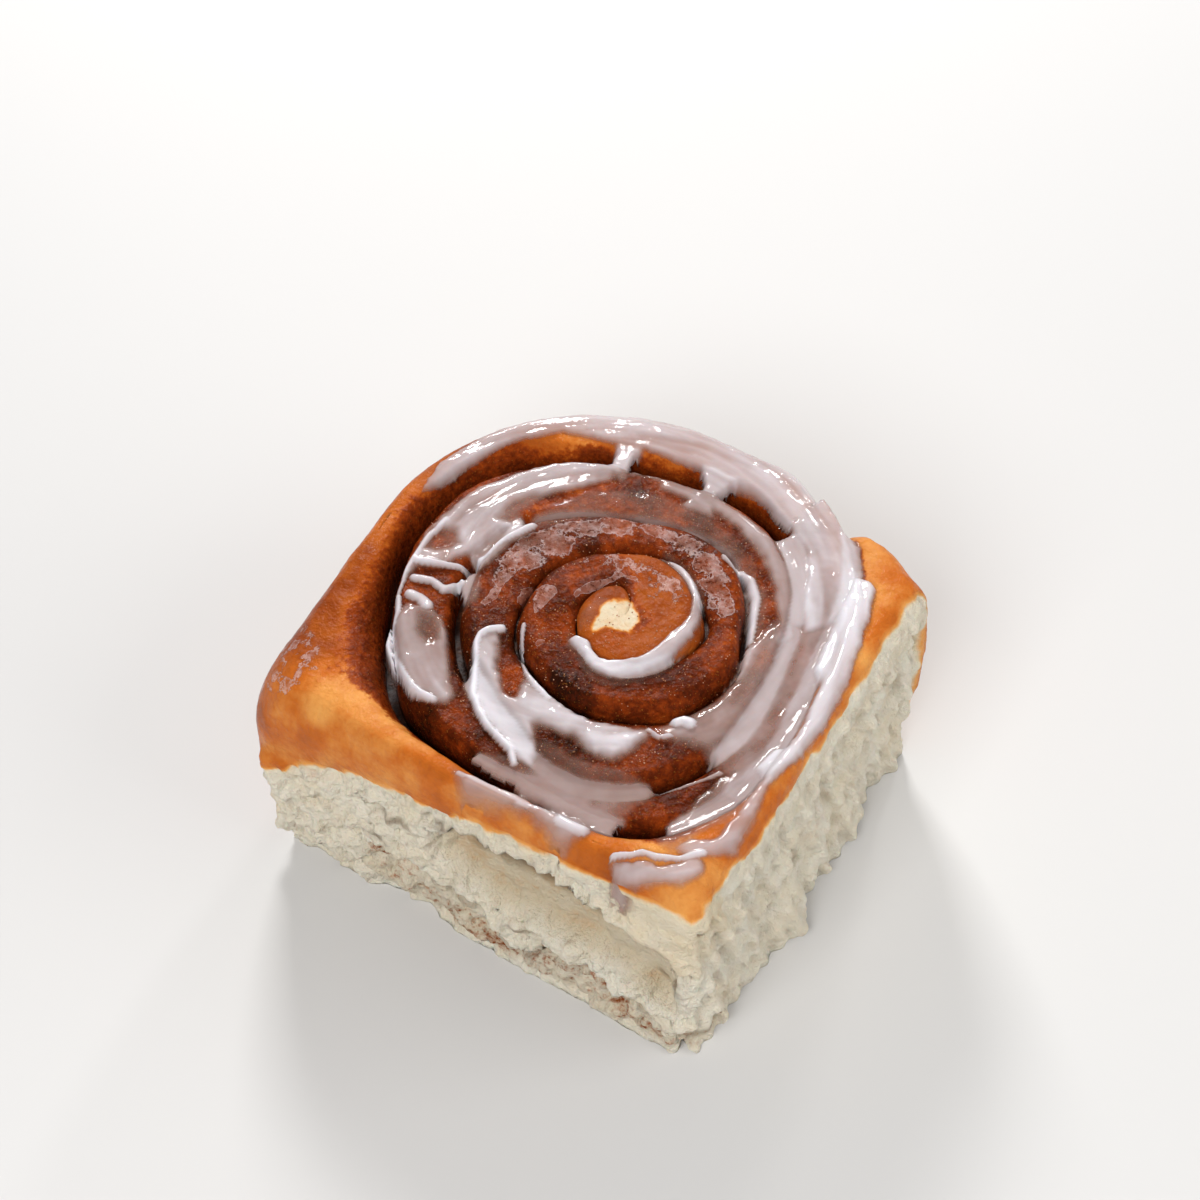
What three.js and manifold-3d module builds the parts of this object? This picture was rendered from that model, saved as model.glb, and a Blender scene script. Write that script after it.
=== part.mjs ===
// Cinnamon roll torn from a tray: one strip of dough rolled up round its filling, iced on top.
// Millimetres, +Z up. The torn front faces -Y, the torn right side faces +X, and the roll rests on z = 0.
// The origin is under the middle of the whole roll.
import * as THREE from "three";
import { mergeVertices } from "three/addons/utils/BufferGeometryUtils.js";
import Module from "manifold-3d";

const wasm = await Module();
wasm.setup();

// Plan of the roll: the corners of its outer wrap as [x, y, rounding].
// The fifth is the inward corner where the strip's tail ends against the coil.
const planCorners = [
  [-51.5, -48, 9],
  [48.5, -49.5, 5],
  [50.5, 35.5, 4],
  [41, 40.8, 8],
  [29.5, 41.6, 1.5],
  [15.5, 50.4, 14],
  [-51.2, 50.6, 47],
];
const arcSteps = 8;

// The seam between the turns, a spiral that runs outward and anticlockwise, in degrees of turn.
const seamStart = 75;
const seamEnd = 1500;
const turn = 360;
const seamCentre = [6.7, -3.6];
const seamDrift = [-9.0, 5.9];
const seamRadius = [4.0, 35.2, 19.0, -8.2];
const seamSpan = 1530;
const seamOval = { size: 0.059, angle: -53 };
const seamThreeSides = { size: 2.6, angle: -55 };
const seamFourSides = { size: 1.5, angle: -43 };
const seamDents = [
  [380, 2.2, 24],
  [498, -2.4, 44],
  [585, 1.2, 20],
  [665, -2.0, 22],
  [722, 1.6, 14],
  [842, -5.6, 44],
  [1012, 2.8, 22],
  [1196, -4.8, 43],
  [1322, 2.2, 18],
  [1366, -2.8, 13],
];
const seamOpening = 60;
const tailBlend = 12;
const tailFullWidth = 6.5;

// Heights of the crowns: along the coils in degrees of turn, and round the outer wrap by direction.
const coilCrest = [[75, 60], [435, 59.6], [795, 58], [1155, 55.5], [1500, 54]];
const wrapCrest = [
  [-180, 54], [-135, 52], [-90, 54.5], [-45, 57.5], [0, 56], [35, 54.5], [52, 54], [180, 54],
];
const wrapShoulder = [
  [-180, 34], [-135, 32], [-112, 39], [-80, 42], [-45, 47], [0, 48], [35, 47], [52, 43], [90, 36], [180, 34],
];
const wrapRounding = [
  [-180, 14], [-135, 18], [-105, 8], [-90, 7], [-45, 11], [0, 4.5], [35, 7], [52, 9], [90, 11], [180, 14],
];
const wrapInnerWall = [[-180, 8], [-140, 8], [-110, 6], [-80, 4], [120, 4], [150, 6], [180, 8]];
const grooveDepth = [
  [75, 2], [435, 3], [795, 3.5], [960, 4], [1080, 4], [1155, 7.5], [1300, 7.5], [1420, 5], [1500, 5],
];
const grooveWall = 3.6;
const crownPower = 2.4;
const crownRound = 1.7;
// Each wall takes at most these shares of the width of its turn.
const innerWallShare = 0.42;
const outerWallShare = 0.5;
const crownShares = [0, 0.3, 0.62, 1];
const closedWidth = 0.001;

// Filling: a cinnamon sheet in a slightly wider slot that runs all the way through.
const slotWidth = 1.6;
const fillingThickness = 1.0;
const fillingAboveBase = 0.4;
const fillingBelowGroove = 1.2;
const slotStart = 110;
const tailThickness = 1.5;

// Sides: the browned ones bulge and tuck in under the roll, the torn ones have lips, hollows and lumps.
const sideBulge = 2;
const baseTuck = 4.5;
const cornerTuck = { size: 5, direction: -135, spread: 25 };
const frontTuck = 2.5;
const hollowTop = [[-8, 37], [1, 41.5], [13, 42.5], [29, 42], [40, 39], [47, 33]];
const flapTop = [[-8, 29], [2, 25], [9, 22], [15, 22], [25, 24], [35, 22], [43, 17], [48, 15]];
const flapBottom = [[-14, 15], [-6, 16], [2, 17], [7, 9], [13, 8], [17, 15], [29, 15], [37, 13], [45, 9]];
const frontFullness = 0.8;
const hollowDepth = 5;
const underFlapDepth = 2.6;
const tornLump = 1.1;
const slowLump = 0.7;
const quickLump = 0.6;
// A side faces a torn direction from the first of these shares of its normal on, and wholly at the second.
const tornTurn = [0.8, 0.99];
const rightBulge = { height: 8, y: -10, size: 2.4 };

// Icing: a skin over the crowns, in patches that follow the turns from one angle to another.
const icingThickness = 1.1;
const icingGap = 0.35;
const icingPatches = [
  { name: "icing_centre", from: 165, to: 400, inner: 0.75, outer: 1.2, fills: 3 },
  { name: "icing_stream", from: 915, to: 1035, inner: 0.05, outer: 0.62 },
  { name: "icing_left", from: 1228, to: 1300, inner: 0.22, outer: 0.78 },
  { name: "icing_back", from: 1120, to: 1222, inner: 0.25, outer: 0.85 },
  { name: "icing_rim", from: 1548, to: 1632, inner: 0.34, outer: 0.7 },
  { name: "icing_right", from: 1762, to: 1838, inner: 0.22, outer: 0.7 },
  { name: "icing_corner", from: 1722, to: 1750, inner: 0.3, outer: 0.62 },
  { name: "icing_front", from: 1672, to: 1712, inner: 0.2, outer: 0.6 },
];

// Fineness of the faces
const crownStep = 7.5;
const wallColumnsPerStep = 2;
const wallRows = 11;
const slotStep = 10;
const patchStep = 9;
const patchColumns = 6;
const patchEnd = 0.3;
const aboveAll = 90;
const belowAll = -5;
const nearlyNothing = 1e-9;
const mergeDistance = 1e-4;

const radians = THREE.MathUtils.degToRad;
const mix = THREE.MathUtils.lerp;
const smooth = THREE.MathUtils.smoothstep;

// Value of a table of [place, value] at a place, eased between its rows
function valueAt(table, place) {
  if (place <= table[0][0]) return table[0][1];
  for (let i = 1; i < table.length; i += 1) {
    const [left, low] = table[i - 1];
    const [right, high] = table[i];
    if (place <= right) return mix(low, high, smooth(place, left, right));
  }
  return table[table.length - 1][1];
}

// Angle in degrees brought into -180 to 180
function direction(angle) {
  return THREE.MathUtils.euclideanModulo(angle + 180, 360) - 180;
}

function hump(distance, spread) {
  return Math.exp(-((distance / spread) ** 2));
}

function driftedCentre(angle) {
  const share = (angle / seamSpan) ** 2;
  return new THREE.Vector2(seamCentre[0] + seamDrift[0] * share, seamCentre[1] + seamDrift[1] * share);
}

// Plan outline as one closed line of straight sides and corner arcs
function planPoints() {
  const corners = planCorners.map(([x, y]) => new THREE.Vector2(x, y));
  const points = [];
  planCorners.forEach(([, , rounding], i) => {
    const corner = corners[i];
    const before = corners.at(i - 1).clone().sub(corner).normalize();
    const after = corners[(i + 1) % corners.length].clone().sub(corner).normalize();
    const half = Math.acos(before.dot(after)) / 2;
    const middle = before.clone().add(after).setLength(rounding / Math.sin(half)).add(corner);
    const first = before.clone().setLength(rounding / Math.tan(half)).add(corner).sub(middle);
    const sweep = -Math.sign(before.cross(after)) * (Math.PI - 2 * half);
    for (let k = 0; k <= arcSteps; k += 1) {
      points.push(first.clone().rotateAround(new THREE.Vector2(), (sweep * k) / arcSteps).add(middle));
    }
  });
  return points;
}

const plan = planPoints();
const planCentre = driftedCentre(seamEnd);

// Point of the plan outline in a direction from the roll's middle
function outlineAt(angle) {
  const ray = new THREE.Vector2(Math.cos(radians(angle)), Math.sin(radians(angle)));
  let reach = 0;
  plan.forEach((point, i) => {
    const start = point.clone().sub(planCentre);
    const side = plan[(i + 1) % plan.length].clone().sub(point);
    const turned = ray.cross(side);
    if (Math.abs(turned) < nearlyNothing) return;
    const along = start.cross(side) / turned;
    const share = start.cross(ray) / turned;
    const met = share >= -nearlyNothing && share <= 1 + nearlyNothing;
    if (along > 0 && met) reach = Math.max(reach, along);
  });
  return ray.multiplyScalar(reach).add(planCentre);
}

function outlineNormal(angle) {
  const along = outlineAt(angle + 1.5).sub(outlineAt(angle - 1.5)).normalize();
  return new THREE.Vector2(along.y, -along.x);
}

// Seam between the turns. Before its start it stays at the middle, and past its end it is the outline.
function seamAt(angle) {
  const clamped = THREE.MathUtils.clamp(angle, seamStart, seamEnd);
  if (angle >= seamEnd) return outlineAt(angle);
  const share = clamped / seamSpan;
  const [a, b, c, d] = seamRadius;
  const oval = 1 + seamOval.size * Math.cos(2 * radians(clamped - seamOval.angle));
  let radius = (a + b * share + c * share ** 2 + d * share ** 3) * oval;
  radius += share ** 2 * seamThreeSides.size * Math.cos(3 * radians(clamped - seamThreeSides.angle));
  radius += share ** 2 * seamFourSides.size * Math.cos(4 * radians(clamped - seamFourSides.angle));
  for (const [at, size, spread] of seamDents) radius += size * hump(clamped - at, spread);
  radius *= smooth(clamped, seamStart, seamStart + seamOpening);
  const ray = new THREE.Vector2(Math.cos(radians(clamped)), Math.sin(radians(clamped)));
  const point = ray.multiplyScalar(radius).add(driftedCentre(clamped));
  return point.lerp(outlineAt(clamped), smooth(clamped, seamEnd - tailBlend, seamEnd));
}

function crestAt(angle) {
  return angle < seamEnd ? valueAt(coilCrest, angle) : valueAt(wrapCrest, direction(angle));
}

// Height of the bottom of the groove along the seam
function seamHeight(angle) {
  if (angle >= seamEnd) return valueAt(wrapShoulder, direction(angle));
  const along = Math.max(angle, seamStart);
  const crest = Math.min(crestAt(along), crestAt(along + turn));
  const opened = smooth(along, seamStart, seamStart + seamOpening);
  const closed = 1 - smooth(along, seamEnd - tailBlend, seamEnd);
  const groove = crest - valueAt(grooveDepth, along) * opened;
  return mix(valueAt(wrapShoulder, direction(along)), groove, closed);
}

// Rise of a rounded crown, from 0 at its edge to 1 on top
function crownRise(share) {
  const left = 1 - THREE.MathUtils.clamp(share, 0, 1);
  return (1 - left ** crownPower) ** (1 / crownRound);
}

// The crown of one turn of the dough: its width and the walls that roll down to the seams on both sides
function crownAt(angle) {
  const inner = seamAt(angle - turn);
  const outer = seamAt(angle);
  const width = inner.distanceTo(outer);
  const rounding = angle < seamEnd ? grooveWall : valueAt(wrapRounding, direction(angle));
  const innerRounding = angle < seamEnd ? grooveWall : valueAt(wrapInnerWall, direction(angle));
  const wallIn = Math.min(innerWallShare * width, innerRounding);
  const wallOut = Math.min(outerWallShare * width, rounding);
  return { inner, outer, width, wallIn, wallOut };
}

// Point on top of the dough, at a share of the way from a turn's inner seam to its outer one.
// A share past 1 lies on the next turn.
function topPoint(angle, share) {
  if (share > 1) return topPoint(angle + turn, share - 1);
  const { inner, outer, width, wallIn, wallOut } = crownAt(angle);
  if (width < closedWidth) return new THREE.Vector3(outer.x, outer.y, seamHeight(angle));
  const place = share * width;
  const spot = inner.clone().lerp(outer, share);
  const [lowIn, lowOut] = [seamHeight(angle - turn), seamHeight(angle)];
  const crest = mix(Math.max(lowIn, lowOut), crestAt(angle), smooth(width, 0, tailFullWidth));
  const dropIn = (crest - lowIn) * (1 - crownRise(place / wallIn));
  const dropOut = (crest - lowOut) * (1 - crownRise((width - place) / wallOut));
  return new THREE.Vector3(spot.x, spot.y, crest - dropIn - dropOut);
}

// One cross-section of a turn, closest where its crown is round
function crownSection(angle) {
  const { width, wallIn, wallOut } = crownAt(angle);
  const rising = crownShares.map((share) => share * wallIn);
  const falling = crownShares.toReversed().map((share) => width - share * wallOut);
  return [...rising, ...falling].map((place) => topPoint(angle, width < closedWidth ? 0 : place / width));
}

// Uneven lumps of torn crumb
function lumps(along, height) {
  const bent = 0.33 * along + 0.9 * Math.sin(0.21 * height);
  const slow = Math.sin(bent) * Math.cos(0.29 * height + 0.11 * along);
  const quick = Math.sin(0.83 * along + 1.7) * Math.sin(0.61 * height + 0.37 * along);
  return tornLump * (slowLump * slow + quickLump * quick);
}

// How far the torn front stands out: the crust's lip, a hollow, and the flap of an inner layer below it
function frontRelief(x, z) {
  const within = smooth(x, -13, -3) * (1 - smooth(x, 39, 47));
  const low = valueAt(flapTop, x);
  const high = valueAt(hollowTop, x);
  const hollow = smooth(z, low - 2, low + 1.5) * (1 - smooth(z, high - 2, high + 0.3));
  const edge = valueAt(flapBottom, x);
  const under = (1 - smooth(z, edge - 1.5, edge + 1.5)) * smooth(x, -16, -6);
  const tuck = frontTuck * (1 - smooth(z, 0, 12)) * (1 - smooth(x, -14, -6));
  const cuts = hollowDepth * hollow * within + underFlapDepth * under + tuck;
  return frontFullness - cuts + lumps(x, z) * (1 - within * 0.7);
}

function rightRelief(y, z) {
  const bulge = rightBulge.size * hump(z - rightBulge.height, 12) * hump(y - rightBulge.y, 26);
  return bulge + lumps(1.3 * y, 0.6 * z) - 0.9;
}

// How far a side stands out past the plan outline at a height
function sideOffset(angle, z, top) {
  const spot = outlineAt(angle);
  const normal = outlineNormal(angle);
  const share = THREE.MathUtils.clamp(z / top, 0, 1);
  const front = smooth(-normal.y, ...tornTurn);
  const right = smooth(normal.x, ...tornTurn);
  const corner = cornerTuck.size * hump(direction(angle) - cornerTuck.direction, cornerTuck.spread);
  const tuck = baseTuck * (1 - share) ** 3 + corner * (1 - share);
  const browned = sideBulge * Math.sin(Math.PI * share ** 0.9) - tuck;
  const keep = 1 - smooth(share, 0.9, 1);
  const torn = front * frontRelief(spot.x, z) + right * rightRelief(spot.y, z);
  return browned * (1 - front) * (1 - right) + torn * keep;
}

// Closed body of the roll without its slot
function rollBody() {
  const positions = [];
  const faces = [];
  const add = (x, y, z) => positions.push(x, y, z) / 3 - 1;
  const quad = (a, b, c, d) => faces.push(a, b, c, a, c, d);

  const sections = [];
  for (let angle = seamStart; angle <= seamEnd + turn; angle += crownStep) {
    sections.push(crownSection(angle).map((point) => add(point.x, point.y, point.z)));
  }
  for (let i = 1; i < sections.length; i += 1) {
    for (let k = 1; k < sections[i].length; k += 1) {
      quad(sections[i - 1][k - 1], sections[i - 1][k], sections[i][k], sections[i][k - 1]);
    }
  }

  const rings = [];
  const columns = (turn / crownStep) * wallColumnsPerStep;
  for (let row = 1; row <= wallRows; row += 1) {
    const ring = [];
    for (let column = 0; column < columns; column += 1) {
      const angle = seamEnd + (turn * column) / columns;
      const top = valueAt(wrapShoulder, direction(angle));
      const height = top * (1 - row / wallRows);
      const spot = outlineNormal(angle).multiplyScalar(sideOffset(angle, height, top)).add(outlineAt(angle));
      ring.push(add(spot.x, spot.y, height));
    }
    rings.push(ring);
  }

  const rim = sections.slice((seamEnd - seamStart) / crownStep).map((section) => section.at(-1));
  for (let i = 1; i < rim.length; i += 1) {
    const [a, b, c] = [0, 1, 2].map((k) => rings[0][(2 * (i - 1) + k) % columns]);
    faces.push(rim[i - 1], a, b, rim[i - 1], b, rim[i], rim[i], b, c);
  }
  for (let row = 1; row < rings.length; row += 1) {
    rings[row].forEach((corner, i) => {
      const next = (i + 1) % columns;
      quad(rings[row - 1][i], corner, rings[row][next], rings[row - 1][next]);
    });
  }
  const middle = add(planCentre.x, planCentre.y, 0);
  rings.at(-1).forEach((corner, i) => {
    faces.push(middle, rings.at(-1)[(i + 1) % columns], corner);
  });

  const geometry = new THREE.BufferGeometry();
  geometry.setAttribute("position", new THREE.Float32BufferAttribute(positions, 3));
  geometry.setIndex(faces);
  return solid(geometry);
}

// Closed solid from a geometry, with shared corners merged and empty faces dropped
function solid(geometry) {
  geometry.deleteAttribute("normal");
  geometry.deleteAttribute("uv");
  const merged = mergeVertices(geometry, mergeDistance);
  const corners = merged.index.array;
  const kept = [];
  for (let i = 0; i < corners.length; i += 3) {
    const [a, b, c] = [corners[i], corners[i + 1], corners[i + 2]];
    if (a !== b && b !== c && c !== a) kept.push(a, b, c);
  }
  return new wasm.Manifold(new wasm.Mesh({
    numProp: 3,
    vertProperties: new Float32Array(merged.attributes.position.array),
    triVerts: new Uint32Array(kept),
  }));
}

// Upright prism over a closed plan line
function prism(points, low, high) {
  const settings = { depth: high - low, bevelEnabled: false };
  const geometry = new THREE.ExtrudeGeometry(new THREE.Shape(points), settings);
  geometry.translate(0, 0, low);
  return solid(geometry);
}

// Plan line round a band of a width that follows the seam from one angle to another
function seamBand(from, to, width, ending) {
  const path = [];
  for (let angle = from; angle <= to; angle += slotStep) path.push(seamAt(angle));
  path.push(...ending);
  const sides = [[], []];
  path.forEach((point, i) => {
    const before = path[Math.max(i - 1, 0)];
    const after = path[Math.min(i + 1, path.length - 1)];
    const normal = after.clone().sub(before).normalize().rotateAround(new THREE.Vector2(), Math.PI / 2);
    sides[0].push(normal.clone().multiplyScalar(width / 2).add(point));
    sides[1].unshift(normal.clone().multiplyScalar(-width / 2).add(point));
  });
  return [...sides[0], ...sides[1]];
}

// Last angle at which the strip's tail is still as thick as it ends
function tailAngle() {
  let angle = slotStart;
  while (seamAt(angle + slotStep).distanceTo(outlineAt(angle + slotStep)) > tailThickness) angle += slotStep;
  return angle;
}

const tail = tailAngle();
const tailWayOut = outlineAt(tail + 4).sub(planCentre).multiplyScalar(1.1).add(planCentre);

function buildDough() {
  const slot = prism(seamBand(slotStart, tail, slotWidth, [tailWayOut]), belowAll, aboveAll);
  return rollBody().subtract(slot);
}

// Closed body between sections that each have the same corners, with flat ends
function bodyThrough(sections) {
  const positions = sections.flat().flatMap((point) => [point.x, point.y, point.z]);
  const count = sections[0].length;
  const faces = [];
  for (let i = 1; i < sections.length; i += 1) {
    for (let k = 0; k < count; k += 1) {
      const [a, b] = [(i - 1) * count + k, (i - 1) * count + ((k + 1) % count)];
      faces.push(a, b + count, b, a, a + count, b + count);
    }
  }
  const last = (sections.length - 1) * count;
  for (let k = 0; k < count / 2 - 1; k += 1) {
    const [a, b, c, d] = [k, k + 1, count - 2 - k, count - 1 - k];
    faces.push(a, b, c, a, c, d, last + a, last + c, last + b, last + a, last + d, last + c);
  }
  const geometry = new THREE.BufferGeometry();
  geometry.setAttribute("position", new THREE.Float32BufferAttribute(positions, 3));
  geometry.setIndex(faces);
  return solid(geometry);
}

function buildFilling() {
  const sections = [];
  for (let angle = slotStart + slotStep; angle < tail; angle += slotStep) {
    const along = seamAt(angle + 1).sub(seamAt(angle - 1)).normalize();
    const aside = new THREE.Vector2(along.y, -along.x).multiplyScalar(fillingThickness / 2);
    const [out, inward] = [seamAt(angle).add(aside), seamAt(angle).sub(aside)];
    const top = seamHeight(angle) - fillingBelowGroove;
    const corners = [[out, fillingAboveBase], [out, top], [inward, top], [inward, fillingAboveBase]];
    sections.push(corners.map(([spot, height]) => new THREE.Vector3(spot.x, spot.y, height)));
  }
  return bodyThrough(sections);
}

// A skin of icing: its underside follows the crown just above it, and its top is rounded.
function buildIcing({ from, to, inner, outer, fills = 0 }) {
  const steps = Math.ceil((to - from) / patchStep);
  const sections = [];
  for (let i = 0; i <= steps; i += 1) {
    const angle = mix(from, to, i / steps);
    const open = Math.max(patchEnd, Math.sqrt(1 - Math.abs((2 * i) / steps - 1) ** 5));
    const under = [];
    const over = [];
    for (let k = 0; k <= patchColumns; k += 1) {
      const across = (2 * k) / patchColumns - 1;
      const share = (inner + outer) / 2 + ((outer - inner) / 2) * open * across;
      const point = topPoint(angle, share);
      const thick = icingThickness * (1 - 0.6 * across ** 4);
      const filled = point.z > crestAt(angle) - fills ? point.z : crestAt(angle) - fills;
      under.push(new THREE.Vector3(point.x, point.y, point.z + icingGap));
      over.unshift(new THREE.Vector3(point.x, point.y, filled + icingGap + thick));
    }
    sections.push([...under, ...over]);
  }
  return bodyThrough(sections);
}

function meshFrom(name, body, material) {
  const { vertProperties, triVerts } = body.getMesh();
  const geometry = new THREE.BufferGeometry();
  geometry.setAttribute("position", new THREE.BufferAttribute(vertProperties, 3));
  geometry.setIndex(new THREE.BufferAttribute(triVerts, 1));
  geometry.computeVertexNormals();
  const mesh = new THREE.Mesh(geometry, material);
  mesh.name = name;
  return mesh;
}

const bread = new THREE.MeshStandardMaterial({ color: 0xd8b07c, roughness: 0.7, metalness: 0 });
const cinnamon = new THREE.MeshStandardMaterial({ color: 0x5a2a12, roughness: 0.5, metalness: 0 });
const icing = new THREE.MeshStandardMaterial({ color: 0xece8e4, roughness: 0.25, metalness: 0 });

const roll = new THREE.Group();
roll.add(meshFrom("dough", buildDough(), bread));
roll.add(meshFrom("cinnamon_filling", buildFilling(), cinnamon));
for (const patch of icingPatches) roll.add(meshFrom(patch.name, buildIcing(patch), icing));

// The middle of the whole roll goes over the origin
const middle = new THREE.Box3().setFromObject(roll).getCenter(new THREE.Vector3());
roll.position.set(-middle.x, -middle.y, 0);

export default roll;
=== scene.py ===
"""Cinnamon roll: the looks of the torn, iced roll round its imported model."""

import math

import bmesh
import bpy
import numpy as np
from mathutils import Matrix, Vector
from mathutils.bvhtree import BVHTree


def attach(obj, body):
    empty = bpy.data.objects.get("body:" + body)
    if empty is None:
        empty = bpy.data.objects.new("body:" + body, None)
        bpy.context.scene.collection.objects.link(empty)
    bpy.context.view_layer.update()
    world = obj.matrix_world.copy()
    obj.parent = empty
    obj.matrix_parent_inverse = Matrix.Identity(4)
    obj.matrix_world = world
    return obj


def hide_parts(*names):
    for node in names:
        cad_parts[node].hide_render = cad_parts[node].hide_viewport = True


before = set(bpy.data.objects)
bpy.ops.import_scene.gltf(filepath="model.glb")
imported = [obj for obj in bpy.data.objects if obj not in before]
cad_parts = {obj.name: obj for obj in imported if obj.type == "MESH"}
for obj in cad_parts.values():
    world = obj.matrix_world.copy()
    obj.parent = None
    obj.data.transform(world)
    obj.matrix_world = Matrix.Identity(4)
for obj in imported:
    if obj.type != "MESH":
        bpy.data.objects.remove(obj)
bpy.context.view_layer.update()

MM = 0.001
TINY = 1e-9

# Camera: the photo's tilt and direction, and how far the roll sits below the middle of the frame
VIEW_ELEVATION = 56.0
VIEW_AZIMUTH = 31.0
VIEW_DISTANCE = 435.93
VIEW_TARGET = (4.6, -9.0, 26.0)
VIEW_RAISE = 25.96
VIEW_LENS = 68.0
SENSOR_WIDTH = 36

# Plan of the roll in millimetres, as in its CAD: corners of the outer wrap, and the seam's spiral
PLAN_MIDDLE = np.array([-0.577, 0.63])
PLAN_CORNERS = [(-51.5, -48, 9), (48.5, -49.5, 5), (50.5, 35.5, 4), (41, 40.8, 8), (29.5, 41.6, 1.5),
                (15.5, 50.4, 14), (-51.2, 50.6, 47)]
ARC_STEPS = 24
REACH_STEP = 0.1
NORMAL_SPAN = 1.5
SEAM_START, SEAM_END, TURN = 75.0, 1500.0, 360.0
SEAM_CENTRE = np.array([6.7, -3.6])
SEAM_DRIFT = np.array([-9.0, 5.9])
SEAM_RADIUS = (4.0, 35.2, 19.0, -8.2)
SEAM_SPAN = 1530.0
SEAM_OVAL, SEAM_OVAL_ANGLE = 0.059, -53
SEAM_THREE, SEAM_THREE_ANGLE = 2.6, -55
SEAM_FOUR, SEAM_FOUR_ANGLE = 1.5, -43
SEAM_DENTS = [(380, 2.2, 24), (498, -2.4, 44), (585, 1.2, 20), (665, -2.0, 22), (722, 1.6, 14),
              (842, -5.6, 44), (1012, 2.8, 22), (1196, -4.8, 43), (1322, 2.2, 18), (1366, -2.8, 13)]
SEAM_OPENING = 60
TAIL_BLEND = 12
TAIL_FULL_WIDTH = 6.5

# Heights in millimetres, along the coils in degrees of turn and round the outer wrap by direction
COIL_CREST = [(75, 60), (435, 59.6), (795, 58), (1155, 55.5), (1500, 54)]
WRAP_CREST = [(-180, 54), (-135, 52), (-90, 54.5), (-45, 57.5), (0, 56), (35, 54.5), (52, 54), (180, 54)]
WRAP_SHOULDER = [(-180, 34), (-135, 32), (-112, 39), (-80, 42), (-45, 47), (0, 48), (35, 47), (52, 43),
                 (90, 36), (180, 34)]
WRAP_ROUNDING = [(-180, 14), (-135, 18), (-105, 8), (-90, 7), (-45, 11), (0, 4.5), (35, 7), (52, 9),
                 (90, 11), (180, 14)]
GROOVE_DEPTH = [(75, 0.6), (200, 1.3), (300, 1.8), (435, 2.0), (600, 1.7), (795, 2.6), (900, 3.4), (960, 3.4),
                (1080, 3.2), (1130, 4.8), (1160, 7.5), (1300, 7.5), (1360, 6), (1420, 4.5), (1500, 5)]
GROOVE_WALL = 2.8
WRAP_INNER_WALL = [(-180, 8), (-140, 8), (-110, 6), (-80, 4), (120, 4), (150, 6), (180, 8)]
CROWN_POWER = 2.4
CROWN_ROUND = 1.7

# Gaps between the turns: how wide they stand open, and how deep the filling lies below the groove
GAP_WIDTH = [(75, 0.1), (200, 0.3), (860, 0.4), (900, 1.3), (960, 1.4), (1000, 0.6), (1110, 0.5), (1122, 1.2),
             (1135, 2.2), (1160, 2.4), (1225, 2.4), (1245, 1.8), (1300, 1.6), (1350, 1.7), (1390, 1.2),
             (1440, 0.5), (1500, 0)]
FILLING_DEPTH = [(110, 1.0), (860, 1.5), (900, 2.5), (960, 2.0), (1100, 2.0), (1120, 7.0), (1220, 7.0),
                 (1260, 3.0), (1400, 2.0), (1480, 1.5)]
GAP_DEPTH, GAP_DEPTH_POWER = 9.0, 1.3

# Browned sides bulge and tuck in towards the base, most at the front left corner
SIDE_BULGE, BULGE_POWER = 2.0, 0.9
BASE_TUCK = 4.5
CORNER_TUCK, CORNER_DIRECTION, CORNER_SPREAD = 5.0, -135, 25

# Torn front: its crust edge, hollow and flap by x, the places in x where they fade, and its pockets of
# painted shade
CRUST_EDGE = [(-46, 28), (-32, 36), (-24, 40.5), (-15, 42), (-5, 44.5), (5, 47), (18, 49), (30, 50.5),
              (40, 51.5), (48, 52)]
HOLLOW_TOP = [(-8, 37), (1, 41.5), (13, 42.5), (29, 42), (40, 39), (47, 33)]
FLAP_TOP = [(-8, 29), (2, 25), (9, 22), (15, 22), (25, 24), (35, 22), (43, 17), (48, 15)]
FLAP_BOTTOM = [(-22, 20), (-14, 21), (-6, 20), (2, 20), (7, 12), (13, 11), (17, 18), (29, 18), (37, 15),
               (45, 10)]
FORM_SPAN, SHADE_SPAN, COLOUR_SPAN = ((-9, -3), (41, 47)), ((-5, 2), (39, 45)), ((-9, -2), (41, 46))
UNDER_START, UNDER_SHADE_START, SMEAR_START = (-26, -18), (-20, -14), (-27, -20)
FRONT_STAND, FRONT_LUMPS_KEPT = 0.8, 0.3
HOLLOW_DEPTH, UNDER_FLAP_DEPTH = 5.0, 1.9
LIP, LIP_RISE, LIP_SPREAD = 1.0, 2, 2.2
FRONT_TUCK, TUCK_TOP, TUCK_END = 2.5, 12, (-14, -6)
CREASE_TOP, CREASE_FADE, UNDER_FADE = 6.5, 14, 6
PAINTED_POCKET_SHADE = [(-5, 40, 4, 0.8), (-15, 34, 5, 0.8), (-20, 24, 3, 1), (31, 13.5, 1.6, 1), (40, 23, 2, 1.2),
           (43.5, 27, 2.2, 1), (12, 19, 3, 0.8)]

# Torn right side: a bulge near the base, and tufts of crumb by y, size and width
RIGHT_BULGE_HEIGHT, RIGHT_BULGE_Y, RIGHT_BULGE = 8, -10, 2.4
RIGHT_BULGE_TALL, RIGHT_BULGE_WIDE = 12, 26
RIGHT_TUFTS = [(29, 2, 4), (10, 1.2, 3), (-15, 2.4, 4), (-33, 1.4, 3.5)]
TUFT_HEIGHT, TUFT_TALL = 4, 5
RIGHT_LUMPS, RIGHT_SET_BACK = 1.5, 0.9


def smooth(low, high, x):
    """Share of the way from low to high, eased at both ends."""
    share = np.clip((x - low) / (high - low), 0, 1)
    return share * share * (3 - 2 * share)


def window(rise, fall, x):
    """One between a rise and a fall, each from one place to another, and nothing outside them."""
    return smooth(*rise, x) * (1 - smooth(*fall, x))


def mix(a, b, share):
    return a + (b - a) * share


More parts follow.
